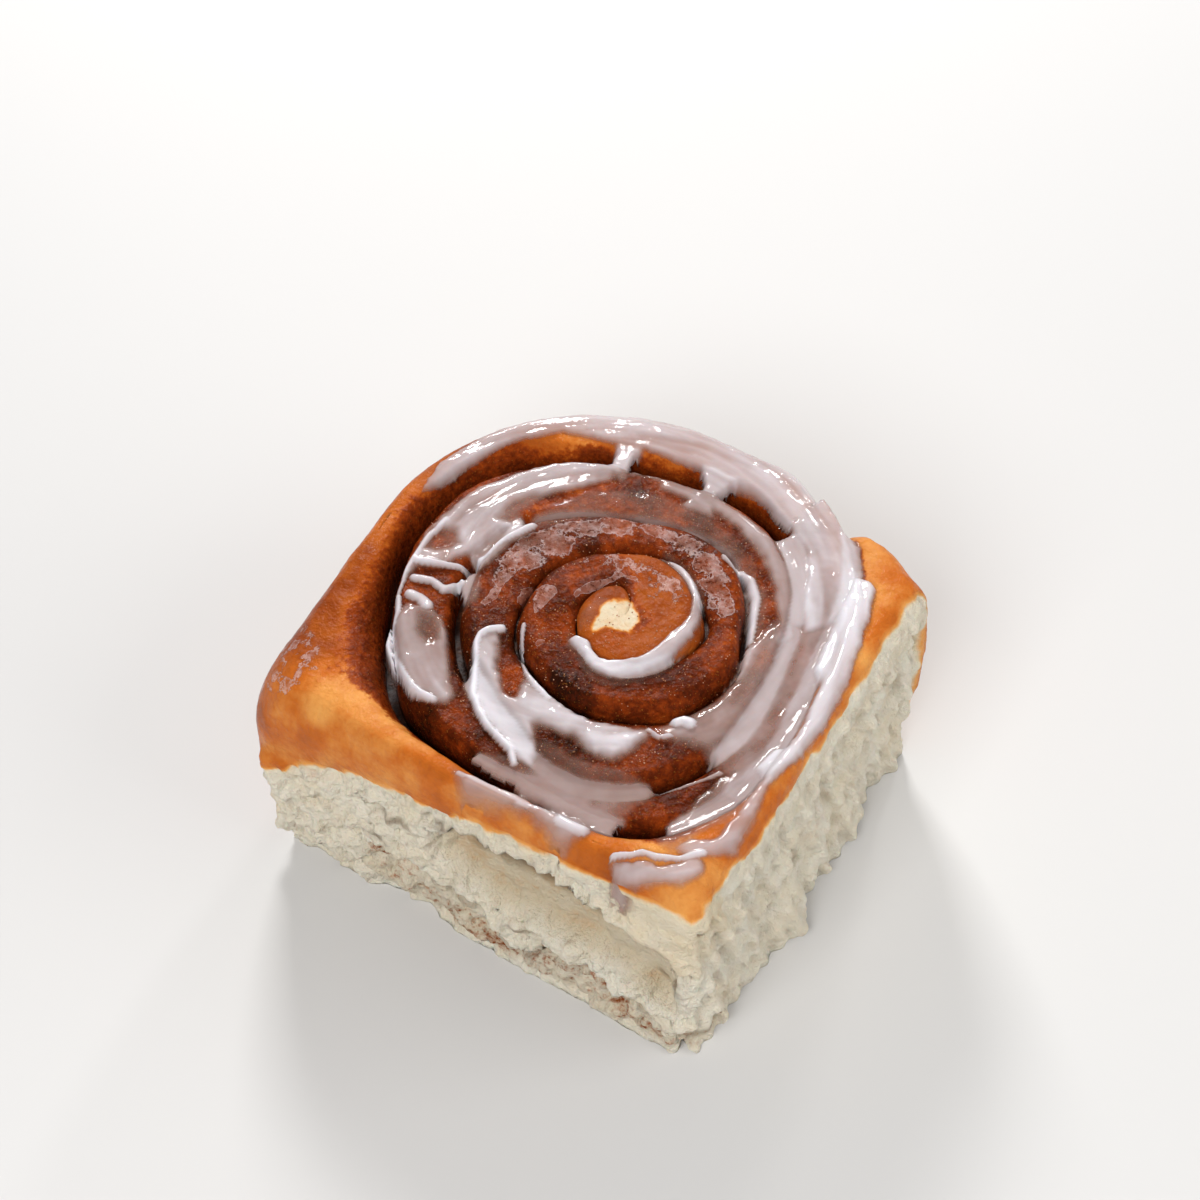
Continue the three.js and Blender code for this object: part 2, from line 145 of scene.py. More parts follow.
def value_at(rows, place):
    """Value of a table of (place, value) rows, eased between them."""
    places, values = np.array(rows, float).T
    i = np.clip(np.searchsorted(places, place, side="right") - 1, 0, len(places) - 2)
    return mix(values[i], values[i + 1], smooth(places[i], places[i + 1], place))


def direction(angle):
    return (angle + 180) % 360 - 180


def hump(distance, spread):
    return np.exp(-((distance / spread) ** 2))


def ray(angle):
    return np.stack([np.cos(np.radians(angle)), np.sin(np.radians(angle))], -1)


def unit(vectors):
    return vectors / np.maximum(np.linalg.norm(vectors, axis=-1, keepdims=True), TINY)


# Lattice noise: its values, the turn of its cells, and the numbers that mix a cell's place with the seed
LATTICE = np.random.default_rng(7).uniform(-1, 1, 65536)
NOISE_TURN = np.linalg.qr(np.random.default_rng(3).normal(size=(3, 3)))[0]
CELL_MIX, SEED_MIX = (73856093, 19349663, 83492791), 2654435
SEED_SHIFT, LAYER_SEED = 17.3, 11


def noise(points, size, seed):
    """Smooth noise from -1 to 1 at points, with lumps of a size in the points' unit."""
    scaled = np.asarray(points, float) @ NOISE_TURN / size + SEED_SHIFT * (seed + 1)
    cell = np.floor(scaled).astype(np.int64)
    share = smooth(0, 1, scaled - cell)
    total = 0
    for corner in np.ndindex(2, 2, 2):
        key = np.bitwise_xor.reduce((cell + corner) * CELL_MIX, axis=-1) ^ (seed * SEED_MIX)
        weight = np.prod(np.where(np.array(corner), share, 1 - share), axis=-1)
        total = total + LATTICE[key % len(LATTICE)] * weight
    return total


def rough(points, size, seed, layers):
    """Noise in several finer and finer layers."""
    total, weight, norm = 0, 1.0, 0
    for k in range(layers):
        total = total + weight * noise(points, size / 2 ** k, seed + LAYER_SEED * k)
        norm += weight
        weight /= 2
    return total / norm


def nearest_side(x, y, rows):
    """Distance to the nearest stretch between successive points of rows."""
    nearest = np.full(x.shape, np.inf)
    for start, end in zip(rows[:-1], rows[1:]):
        way = end - start
        share = np.clip(((x - start[0]) * way[0] + (y - start[1]) * way[1]) / (way @ way), 0, 1)
        nearest = np.minimum(nearest, np.hypot(x - start[0] - share * way[0], y - start[1] - share * way[1]))
    return nearest


def depth_inside(x, y, outline):
    """Distance from a closed outline, positive inside it."""
    rows = np.array([*outline, outline[0]], float)
    within = np.zeros(x.shape, bool)
    for start, end in zip(rows[:-1], rows[1:]):
        if start[1] != end[1]:
            crossing = start[0] + (y - start[1]) * (end[0] - start[0]) / (end[1] - start[1])
            within ^= ((start[1] > y) != (end[1] > y)) & (x < crossing)
    nearest = nearest_side(x, y, rows)
    return np.where(within, nearest, -nearest)


def plan_points():
    """Outline of the roll in plan, with its corners rounded by arcs."""
    corners = np.array([c[:2] for c in PLAN_CORNERS], float)
    points = []
    for i, (_, _, rounding) in enumerate(PLAN_CORNERS):
        corner = corners[i]
        before, after = unit(corners[i - 1] - corner), unit(corners[(i + 1) % len(corners)] - corner)
        half = math.acos(before @ after) / 2
        middle = corner + unit(before + after) * rounding / math.sin(half)
        first = corner + before * rounding / math.tan(half) - middle
        inward = math.copysign(1, before[1] * after[0] - before[0] * after[1])
        for k in range(ARC_STEPS + 1):
            turned = inward * (math.pi - 2 * half) * k / ARC_STEPS
            c, s = math.cos(turned), math.sin(turned)
            points.append(middle + np.array([c * first[0] - s * first[1], s * first[0] + c * first[1]]))
    return np.array(points)


PLAN_OUTLINE = plan_points()
PLAN_CENTRE = SEAM_CENTRE + SEAM_DRIFT * (SEAM_END / SEAM_SPAN) ** 2


def plan_reach():
    """Reach of the plan outline for each tenth of a degree, from ray and side crossings."""
    points = PLAN_OUTLINE - PLAN_CENTRE
    sides = np.roll(points, -1, axis=0) - points
    rays = ray(np.arange(0, 360, REACH_STEP))
    turned = rays[:, None, 0] * sides[None, :, 1] - rays[:, None, 1] * sides[None, :, 0]
    turned = np.where(np.abs(turned) < TINY, TINY, turned)
    along = (points[:, 0] * sides[:, 1] - points[:, 1] * sides[:, 0]) / turned
    share = (points[None, :, 0] * rays[:, None, 1] - points[None, :, 1] * rays[:, None, 0]) / turned
    hit = (along > 0) & (share >= -TINY) & (share <= 1 + TINY)
    return np.where(hit, along, 0).max(axis=1)


PLAN_REACH = plan_reach()


def outline_at(angle):
    angle = np.asarray(angle, float)
    around = np.arange(0, 360 + REACH_STEP, REACH_STEP)
    reach = np.interp(angle % 360, around, np.append(PLAN_REACH, PLAN_REACH[0]))
    return ray(angle) * reach[..., None] + PLAN_CENTRE


def outline_normal(angle):
    along = unit(outline_at(angle + NORMAL_SPAN) - outline_at(angle - NORMAL_SPAN))
    return np.stack([along[..., 1], -along[..., 0]], -1)


def seam_at(angle):
    """Seam between the turns: the middle before its start, the outline past its end."""
    angle = np.asarray(angle, float)
    at = np.clip(angle, SEAM_START, SEAM_END)
    share = at / SEAM_SPAN
    a, b, c, d = SEAM_RADIUS
    radius = (a + b * share + c * share ** 2 + d * share ** 3)
    radius = radius * (1 + SEAM_OVAL * np.cos(2 * np.radians(at - SEAM_OVAL_ANGLE)))
    radius = radius + share ** 2 * SEAM_THREE * np.cos(3 * np.radians(at - SEAM_THREE_ANGLE))
    radius = radius + share ** 2 * SEAM_FOUR * np.cos(4 * np.radians(at - SEAM_FOUR_ANGLE))
    for place, size, spread in SEAM_DENTS:
        radius = radius + size * hump(at - place, spread)
    radius = radius * smooth(SEAM_START, SEAM_START + SEAM_OPENING, at)
    centre = SEAM_CENTRE + SEAM_DRIFT * (share ** 2)[..., None]
    point = centre + ray(at) * radius[..., None]
    to_outline = smooth(SEAM_END - TAIL_BLEND, SEAM_END, at)[..., None]
    point = mix(point, outline_at(at), to_outline)
    return np.where((angle >= SEAM_END)[..., None], outline_at(angle), point)


def crest_at(angle):
    return np.where(angle < SEAM_END, value_at(COIL_CREST, angle), value_at(WRAP_CREST, direction(angle)))


def seam_height(angle):
    """Height of the groove along the seam, which runs out to the shoulder of the wrap."""
    along = np.maximum(angle, SEAM_START)
    crest = np.minimum(crest_at(along), crest_at(along + TURN))
    opened = smooth(SEAM_START, SEAM_START + SEAM_OPENING, along)
    closing = 1 - smooth(SEAM_END - TAIL_BLEND, SEAM_END, along)
    groove = crest - value_at(GROOVE_DEPTH, along) * opened
    shoulder = value_at(WRAP_SHOULDER, direction(along))
    height = mix(shoulder, groove, closing)
    return np.where(angle >= SEAM_END, value_at(WRAP_SHOULDER, direction(angle)), height)


def crown_rise(share):
    left = 1 - np.clip(share, 0, 1)
    return (1 - left ** CROWN_POWER) ** (1 / CROWN_ROUND)


def gap_at(angle):
    opened = smooth(SEAM_START, SEAM_START + SEAM_OPENING, angle)
    return np.where(angle >= SEAM_END, 0, value_at(GAP_WIDTH, angle)) * opened


def wall_steps(count):
    """Shares of a rounded wall, close together where it is steep."""
    return 1 - np.cos(np.linspace(0, np.pi / 2, count)) ** (2 / CROWN_POWER)


# Grid of the dough: sections across the strip, stepped along it by arc length
COIL_STEP, CRUST_STEP, TORN_STEP = 0.47, 0.9, 0.46
FINE_ANGLE, SHORTEST_STEP = 0.25, 0.02
WALL_ROWS = 9
COIL_COLUMNS = (12, 20, 12)
WRAP_COLUMNS = (11, 22, 13)
SIDE_ROWS = 88
SAFE_WIDTH, NO_WIDTH = 1e-6, 1e-3
GAP_MOST, WALL_IN_MOST, WALL_OUT_MOST = 0.2, 0.42, 0.5


def steps_along(start, end, step_at):
    """Angles from start to end, spaced by arc length, with the step given by direction."""
    fine = np.arange(start, end + TINY, FINE_ANGLE)
    spots = seam_at(fine)
    length = np.linalg.norm(np.diff(spots, axis=0), axis=-1) / step_at(fine[:-1])
    along = np.concatenate([[0], np.cumsum(np.maximum(length, SHORTEST_STEP))])
    return np.interp(np.linspace(0, along[-1], int(along[-1])), along, fine)


def crown_grid(angles, columns):
    """Points over each section from its inner seam to its outer one, gaps included, and their shares."""
    rise_count, middle_count, fall_count = columns
    inner, outer = seam_at(angles - TURN), seam_at(angles)
    width = np.linalg.norm(outer - inner, axis=-1)
    safe = np.maximum(width, SAFE_WIDTH)
    gap_in = np.minimum(gap_at(angles - TURN) / 2, GAP_MOST * width)
    gap_out = np.minimum(gap_at(angles) / 2, GAP_MOST * width)
    rounding = np.where(angles < SEAM_END, GROOVE_WALL, value_at(WRAP_ROUNDING, direction(angles)))
    inner_wall = np.where(angles < SEAM_END, GROOVE_WALL, value_at(WRAP_INNER_WALL, direction(angles)))
    wall_in = np.minimum(WALL_IN_MOST * width, inner_wall)
    wall_out = np.minimum(WALL_OUT_MOST * width, rounding)
    rise = wall_in[:, None] * wall_steps(rise_count)
    fall = width[:, None] - wall_out[:, None] * wall_steps(fall_count)[::-1]
    middle = mix(wall_in[:, None], (width - wall_out)[:, None], np.linspace(0, 1, middle_count + 2)[1:-1])
    place = np.concatenate([rise, middle, fall], axis=1)
    low_in, low_out = seam_height(angles - TURN)[:, None], seam_height(angles)[:, None]
    full = smooth(0, TAIL_FULL_WIDTH, width)[:, None]
    crest = mix(np.maximum(low_in, low_out), crest_at(angles)[:, None], full)
    from_in = place / np.maximum(wall_in, SAFE_WIDTH)[:, None]
    from_out = (width[:, None] - place) / np.maximum(wall_out, SAFE_WIDTH)[:, None]
    drop_in = (crest - low_in) * (1 - crown_rise(from_in))
    drop_out = (crest - low_out) * (1 - crown_rise(from_out))
    height = crest - drop_in - drop_out
    height = np.where((width < NO_WIDTH)[:, None], low_out, height)
    share = gap_in[:, None] / safe[:, None] + place / safe[:, None] * (1 - (gap_in + gap_out) / safe)[:, None]
    spot = mix(inner[:, None, :], outer[:, None, :], share[..., None])
    return np.concatenate([spot, height[..., None]], axis=-1), share


def wall_grid(edge, up):
    """Wall of a gap below an edge of the crown, with a foot on the ground, from foot to edge or back."""
    depth = GAP_DEPTH * np.linspace(1, 0, WALL_ROWS + 1)[:-1] ** GAP_DEPTH_POWER
    wall = np.repeat(edge[:, None, :], WALL_ROWS + 1, axis=1)
    wall[:, 1:, 2] -= depth
    wall[:, 0, 2] = 0
    return wall if up else wall[:, ::-1]


def torn_edges(x):
    """Ragged heights of the hollow's top, the flap's top and the flap's bottom along the torn front."""
    flat = np.stack([x, 0 * x, 0 * x], -1)
    return (value_at(HOLLOW_TOP, x) + 0.7 * rough(flat, 5, seed=17, layers=3),
            value_at(FLAP_TOP, x) + 2.2 * rough(flat, 6, seed=18, layers=4),
            value_at(FLAP_BOTTOM, x) + 3.0 * rough(flat, 7, seed=19, layers=4))


def front_relief(x, z):
    """How far the torn front stands out of the outline: lip, hollow, flap and lumps."""
    within = window(*FORM_SPAN, x)
    high, low, edge = torn_edges(x)
    hollow = window((low - 1.5, low + 2.5), (high - 1.2, high + 0.2), z)
    under = (1 - smooth(edge - 1, edge + 0.8, z)) * smooth(*UNDER_START, x)
    tuck = FRONT_TUCK * (1 - smooth(0, TUCK_TOP, z)) * (1 - smooth(*TUCK_END, x))
    lip = LIP * within * hump(z - high - LIP_RISE, LIP_SPREAD)
    sunk = HOLLOW_DEPTH * hollow * within + UNDER_FLAP_DEPTH * under + tuck
    return FRONT_STAND + lip - sunk + lumps(x, z) * mix(1, FRONT_LUMPS_KEPT, within)


def front_shade(x, z):
    """Painted shade on the torn front: in the crease under the lip, under the flap, and in a few pockets."""
    high, _, edge = torn_edges(x)
    below_lip = window((high - CREASE_FADE, high - CREASE_TOP), (high - 0.4, high + 0.8), z)
    below_flap = window((edge - UNDER_FADE, edge - 2), (edge - 0.3, edge + 0.9), z)
    crease = window(*SHADE_SPAN, x) * below_lip
    under = 0.5 * smooth(*UNDER_SHADE_START, x) * below_flap
    pocket_shade = np.max([hump(x - px, wide) * hump(z - pz, tall) for px, pz, wide, tall in PAINTED_POCKET_SHADE], axis=0)
    return np.maximum(np.maximum(crease, under), 0.8 * pocket_shade)


def hollow_at(x, z):
    high, low, _ = torn_edges(x)
    return window(*COLOUR_SPAN, x) * window((low - 1, low + 2), (high - 2, high), z)


def right_relief(y, z):
    """How far the torn right side stands out of the outline: bulge, tufts and lumps."""
    bulge = RIGHT_BULGE * hump(z - RIGHT_BULGE_HEIGHT, RIGHT_BULGE_TALL)
    bulge = bulge * hump(y - RIGHT_BULGE_Y, RIGHT_BULGE_WIDE)
    tufts = sum(size * hump(y - at, wide) for at, size, wide in RIGHT_TUFTS)
    tufts = tufts * hump(z - TUFT_HEIGHT, TUFT_TALL)
    return bulge + tufts + RIGHT_LUMPS * lumps(1.1 * y, 0.7 * z) - RIGHT_SET_BACK


def lumps(along, height):
    """Slow and quick swells of torn dough, from waves across one another."""
    slow = np.sin(0.33 * along + 0.9 * np.sin(0.21 * height)) * np.cos(0.29 * height + 0.11 * along)
    quick = np.sin(0.83 * along + 1.7) * np.sin(0.61 * height + 0.37 * along)
    return 0.77 * slow + 0.66 * quick


def torn_shares(angles):
    """How far each direction belongs to the torn front and to the torn right."""
    normal = outline_normal(angles)
    return smooth(0.8, 0.99, -normal[:, 1])[:, None], smooth(0.8, 0.99, normal[:, 0])[:, None]


def side_offset(share):
    """How far a browned side stands out of the outline, by its share of the height."""
    return SIDE_BULGE * np.sin(np.pi * share ** BULGE_POWER) - BASE_TUCK * (1 - share) ** 3


def side_grid(angles):
    """Side of the outer wrap below its shoulder, each row one direction from top to base."""
    spot, normal = outline_at(angles)[:, None, :], outline_normal(angles)[:, None, :]
    top = value_at(WRAP_SHOULDER, direction(angles))[:, None]
    share = 1 - np.linspace(0, 1, SIDE_ROWS + 1)[None, 1:]
    z = top * share
    front, right = torn_shares(angles)
    corner = CORNER_TUCK * hump(direction(angles) - CORNER_DIRECTION, CORNER_SPREAD)[:, None] * (1 - share)
    torn = front * front_relief(spot[..., 0], z) + right * right_relief(spot[..., 1], z)
    torn = torn * (1 - smooth(0.94, 1, share))
    offset = (side_offset(share) - corner) * (1 - front) * (1 - right) + torn
    plan = spot + normal * offset[..., None]
    return np.concatenate([plan, z[..., None]], axis=-1)


def grid_normals(grid):
    return unit(np.cross(np.gradient(grid, axis=1), np.gradient(grid, axis=0)))


# Fine relief in millimetres: of the torn crumb and its pores, of the strands, and of the browned crust
CRUMB_RISE, CRUMB_LEVEL, CRUMB_GRAIN, PORE_DEPTH = 2.6, 0.38, 0.6, 1.1
STRAND_RISE, STRAND_DRAWN = 0.9, np.array([1, 1, 0.2])
CRUST_DIMPLES, CRUST_ROUGH, CRUST_GRAIN = 0.42, 0.2, 0.05


def crumb_height(points):
    """Torn crumb: lumps with creases between them, grain, and pores."""
    puffed = np.abs(rough(points, 6, seed=21, layers=3)) + 0.5 * np.abs(rough(points, 2.4, seed=27, layers=2))
    pores = smooth(0.34, 0.62, noise(points, 2.1, seed=25))
    pores = pores + 0.6 * smooth(0.4, 0.65, noise(points, 1.1, seed=26))
    grain = rough(points, 1.7, seed=23, layers=2)
    return CRUMB_RISE * (puffed - CRUMB_LEVEL) + CRUMB_GRAIN * grain - PORE_DEPTH * pores


def strand_height(points):
    """Fine upright strands of dough pulled apart on the right face."""
    fine = rough(points * STRAND_DRAWN, 2.2, seed=31, layers=3)
    return STRAND_RISE * fine + STRAND_RISE * rough(points, 6, seed=33, layers=2)


def crown_height(points):
    """Soft dimples and fine grain of the browned dough."""
    dimples = CRUST_DIMPLES * noise(points, 8, seed=41) + CRUST_ROUGH * rough(points, 2.8, seed=42, layers=3)
    return dimples + CRUST_GRAIN * noise(points, 0.8, seed=47)


def solid_strip(name, grid, attributes, cap_start, cap_end):
    """Closed mesh of a strip whose sections run from the inner foot over the crown to the outer foot."""
    rows, columns = grid.shape[:2]
    index = np.arange(rows * columns).reshape(rows, columns)
    after = np.roll(index, -1, axis=1)
    faces = np.stack([index[:-1], after[:-1], after[1:], index[1:]], -1).reshape(-1, 4).tolist()
    if cap_start:
        faces.append(index[0, ::-1].tolist())
    if cap_end:
        faces.append(index[-1].tolist())
    values = {key: value.ravel() for key, value in attributes.items()}
    return mesh_piece(name, grid.reshape(-1, 3), faces, values)


def mesh_piece(name, points, faces, attributes=None):
    """Piece from points in plan millimetres, smooth, with doubled points joined."""
    spots = points.copy()
    spots[:, :2] -= PLAN_MIDDLE
    mesh = bpy.data.meshes.new(name)
    mesh.from_pydata((spots * MM).tolist(), [], faces)
    for key, value in (attributes or {}).items():
        mesh.attributes.new(key, "FLOAT", "POINT").data.foreach_set("value", value.astype(np.float32))
    shape = bmesh.new()
    shape.from_mesh(mesh)
    bmesh.ops.remove_doubles(shape, verts=shape.verts, dist=1e-7)
    shape.to_mesh(mesh)
    shape.free()
    mesh.validate()
    mesh.shade_smooth()
    piece = bpy.data.objects.new(name, mesh)
    bpy.context.scene.collection.objects.link(piece)
    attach(piece, "root")
    return piece


# Ends of the strip: where the last coil shows outside the wrap's tail, how close it keeps to the side,
# where that part is browned like the side, and where the relief calms down at the middle and in the gaps
OUTER_FROM, OUTER_TOP, TAIL_LENGTH, TAIL_INSET = 1455, 50, 45, 0.4
MIDDLE_POINT = seam_at(np.array(SEAM_START))
OUTER_BROWNED, OUTER_PART = (15, 30), (0.5, 0.75)
MIDDLE_CALM, WALL_CALM = (0.2, 2.5), 0.6

# Colour masks of the dough: the bun in the middle, the spice of the coils, and the browning of the crust
BUN_END, BUN_PART = (430, 520), (0.1, 0.5)
COIL_SPICE, BUN_UNSPICED, COIL_CRUST, BUN_CRUST, BARE_CRUST = 0.62, 0.62, 0.88, 0.82, 0.25
CRUST, CRUST_SPOTS, CRUST_PALE_BASE, CRUST_BASE_SPAN = 0.62, 0.14, 0.2, (4, 30)
LEFT_BROWNED, CRUMB_PALE = 0.16, 0.12

# Glossy place on the left crust, whose pale glaze patches are a painted highlight, and the pale patch on the
# bun in the middle
GLOSSY_CRUST_PAINTED_HIGHLIGHT = [(-50, -44), (-41, -46), (-36, -39), (-41, -30), (-49, -29)]
BUN_PATCH = [(3, -8), (3.5, -9.6), (5, -7.7), (7.4, -7.2), (9.4, -6.9), (9.6, -4), (8.7, -1.8), (6, -0.5),
             (3, -1.8), (2.2, -4.2)]

# Wrap: heights down to which its skin reaches on the right and at the corner, where the corner lies by
# direction, the columns over which crown turns to side, and the places of left side, front and skin on it
RIGHT_EDGE, CORNER_SKIN = 53.3, 51
CORNER_FROM, CORNER_TO = (-62, -52), (-34, -26)
SHOULDER_BLEND = (16, 12)
LEFT_FROM, LEFT_TO, FRONT_Y = (128, 150), (-140, -118), -40
SKIN_X, SKIN_Z, SKIN_LEAN = (30, 38), (38, 43), 0.1
SKIN_COLOUR_X, SKIN_COLOUR_Z = (28, 38), (36, 42)
SMEAR_SQUASH = np.array([0.6, 0.6, 1.2])

# Thin porous glaze over the inner coils, its pale colour partly a painted sheen: how full, width of its edge,
# and outline in plan millimetres.
# Most points of BUN_PATCH, FILMS, POOLS, THIN_PLACES and THREADS were marked in the photo and carried over to
# the plan by another program. NECKS and the glossy crust patch were chosen.
FILMS = [
    (0.8, 4.4,
     [(-22.5, -3), (-20.5, 3.5), (-17.7, 8.4), (-14.4, 12.3), (-10, 15.6), (-4, 18.5), (4.5, 20.4),
      (13, 20.2), (17.3, 16), (22, 11), (24.3, 7.7), (21.5, 5.2), (17.4, 6.6), (13.4, 10.6), (9, 14.7),
      (5, 15.7), (-0.7, 14.4), (-7, 10.6), (-9.9, 7.8), (-9.9, 4.3), (-11.8, 1.7), (-13.6, -3),
      (-16.8, -5.7), (-17.5, -10.8), (-18.5, -12)]),
    (0.56, 4.4,
     [(-13, -8.7), (-12.6, -5.3), (-10.8, -1.2), (-9, 3), (-5.6, 6.6), (-0.5, 10.2), (3.7, 10.5),
      (10.5, 9.7), (15.2, 6.7), (15.9, 3.3), (14.3, 1.6), (11.3, 1.1), (7.6, 0.1), (6, 2.9), (1.3, 2.2),
      (-2.9, 3.4), (-5.9, 1.3), (-7.6, -2.9), (-7.3, -8.4), (-8.4, -11.5), (-12.3, -9.3)]),
    (0.95, 1.2,
     [(-10.3, -9.3), (-10.2, -5.2), (-7.7, -4.2), (-6.5, -5.4), (-6.9, -8), (-7.3, -11.1), (-7.8, -12.4),
      (-9.1, -9.8)]),
    (0.95, 1, [(-12.8, -9.5), (-13.5, -8.7), (-13.7, -6.4), (-12.2, -4.5), (-11.7, -6.6), (-11.6, -9.2)]),
    (0.95, 1.2,
     [(-4.1, -4.5), (-4.3, -3), (-3.1, -0.5), (-0.9, 2.2), (1, 4.8), (4.4, 5.4), (5.3, 4), (1.8, 3.4),
      (-0.1, 0.8), (-1.6, -1.8), (-2.7, -3.7), (-3.1, -5)]),
    (0.9, 1.4,
     [(-19.6, -6.4), (-17.8, -4.3), (-16, -2.2), (-16.3, -5.4), (-16.8, -7.1), (-16.4, -10.7),
      (-17.3, -13.7), (-18.6, -13.3), (-18.6, -9.2)]),
    (1, 0.8, [(-4.4, -16.9), (-4.3, -15.9), (-3.1, -15.1), (-2.9, -16.2), (-3.7, -17.4)]),
]


def build_coils():
    angles = steps_along(SEAM_START, SEAM_END, lambda angle: np.full_like(angle, COIL_STEP))
    crown, share = crown_grid(angles, COIL_COLUMNS)
    grid = np.concatenate([wall_grid(crown[:, 0], True), crown, wall_grid(crown[:, -1], False)], axis=1)
    side = np.zeros((len(angles), WALL_ROWS + 1))
    share = np.concatenate([side, share, side + 1], axis=1)
    turned = np.broadcast_to(angles[:, None], share.shape)
    depth = np.maximum(np.minimum(crown[:, :1, 2], crown[:, -1:, 2]) - grid[..., 2], 0)
    from_middle = np.linalg.norm(grid[..., :2] - MIDDLE_POINT, axis=-1)
    raised = crown_height(grid) * smooth(*MIDDLE_CALM, from_middle) * (1 - WALL_CALM * smooth(0, 1, depth))
    raised[:, [0, -1]] = 0
    grid = grid + grid_normals(grid) * raised[..., None]
    grid[:, [0, -1], 2] = 0
    late = angles > OUTER_FROM
    grid[late] = tucked(grid[late])
    coating = coil_coating(turned, share, grid, depth)
    return solid_strip("dough_coils", grid, coating, False, True)


def tucked(grid):
    """Points of the last turn drawn in where they would stand out of the tucked side."""
    x, y, z = np.moveaxis(grid, -1, 0)
    wanted = TAIL_INSET - side_offset(np.clip(z / OUTER_TOP, 0, 1))
    short = np.maximum(wanted - depth_inside(x, y, PLAN_OUTLINE), 0)
    plan = grid[..., :2] + unit(PLAN_CENTRE - grid[..., :2]) * short[..., None]
    return np.concatenate([plan, z[..., None]], axis=-1)


def side_crust(spotty, z):
    """Browning of a side that faced the tin, paler towards the base."""
    return CRUST + CRUST_SPOTS * spotty - CRUST_PALE_BASE * (1 - smooth(*CRUST_BASE_SPAN, z))


def coil_coating(angle, share, grid, depth):
    """Colour masks of the coils: how brown, how spicy, how glazed."""
    x, y, z = np.moveaxis(grid, -1, 0)
    spotty = rough(grid, 5, seed=61, layers=3)
    bun = (1 - smooth(*BUN_END, angle)) * smooth(*BUN_PART, share)
    spice = COIL_SPICE + 0.4 * spotty + 0.4 * smooth(0, 2, depth) + 0.16 * hump(direction(angle) + 80, 55)
    spice = spice - BUN_UNSPICED * bun
    crust = mix(COIL_CRUST, BUN_CRUST, bun) + 0.1 * spotty
    bare = smooth(-0.5, 0.5, depth_inside(x, y, BUN_PATCH) + 0.9 * rough(grid, 1.5, seed=62, layers=3))
    crust = mix(crust, BARE_CRUST, 0.9 * bare)
    low, high = OUTER_BROWNED
    outer = smooth(OUTER_FROM + low, OUTER_FROM + high, angle) * smooth(*OUTER_PART, share)
    crust = mix(crust, side_crust(spotty, z), outer)
    spice = spice * (1 - bare) * (1 - outer)
    film = film_at(grid) * (1 - smooth(2, 5, depth))
    # The bun's pale patch is toned darker through the mask that elsewhere carries painted shade
    return {"crust": crust, "spice": spice, "film": film, "crumb": np.zeros_like(spice), "painted_shade_and_tone": 0.3 * bare}


def film_at(grid):
    """How full the thin glaze is at each point."""
    x, y = grid[..., 0], grid[..., 1]
    depths = [full * smooth(-edge / 2, edge / 2, depth_inside(x, y, outline))
              for full, edge, outline in FILMS]
    return np.max(depths, axis=0)


def torn_parts(angles, grid, first_side):
    """How torn each point of the wrap is, and how far it lies in the hollow of the front."""
    x, z = grid[..., 0], grid[..., 2]
    front, right = torn_shares(angles)
    start, end = SHOULDER_BLEND
    outside = smooth(first_side - start, first_side - end, np.arange(grid.shape[1])[None, :] + 0 * z)
    crust_edge = value_at(CRUST_EDGE, x) + 1.2 * noise(grid, 5, seed=51)
    right_edge = RIGHT_EDGE + 1.2 * noise(grid, 4, seed=52)
    below = front * (1 - smooth(crust_edge - 1, crust_edge + 1, z))
    below_right = right * (1 - smooth(right_edge - 1, right_edge + 1, z))
    at_corner = window(CORNER_FROM, CORNER_TO, direction(angles)[:, None])
    below_corner = at_corner * (1 - smooth(CORNER_SKIN - 1, CORNER_SKIN + 1, z + noise(grid, 4, seed=53)))
    torn = np.maximum(np.maximum(below, below_right), below_corner) * outside
    return torn, hollow_at(x, z) * front * outside


def build_wrap():
    def step_at(angle):
        front, right = torn_shares(angle)
        return mix(CRUST_STEP, TORN_STEP, np.maximum(front, right)[:, 0])

    angles = steps_along(SEAM_END, SEAM_END + TURN, step_at)
    crown, share = crown_grid(angles, WRAP_COLUMNS)
    grid = np.concatenate([wall_grid(crown[:, 0], True), crown, side_grid(angles)], axis=1)
    first_side = WALL_ROWS + 1 + crown.shape[1]
    front, right = torn_shares(angles)
    torn, hollow = torn_parts(angles, grid, first_side)
    x, z = grid[..., 0], grid[..., 2]
    skin = smooth(*SKIN_X, x) * smooth(*SKIN_Z, z + SKIN_LEAN * x) * front
    rough_share = np.clip(torn * (1 - 0.8 * hollow) * (1 - 0.8 * skin), 0, 1)
    crumb = crumb_height(grid)
    raised = mix(crown_height(grid), mix(crumb, strand_height(grid) + 0.4 * crumb, right), rough_share)
    raised[:, 0] = 0
    raised = raised * smooth(0, 1.5, z + 0.4)
    grid = grid + grid_normals(grid) * raised[..., None]
    grid[:, [0, -1], 2] = 0
    grid[..., 2] = np.maximum(grid[..., 2], 0)
    late = angles > SEAM_END + TURN - TAIL_LENGTH
    grid[late, :WALL_ROWS + 1] = tucked(grid[late, :WALL_ROWS + 1])
    coating = wrap_coating(angles, share, grid, torn, hollow, first_side)
    return solid_strip("dough_wrap", grid, coating, True, False)


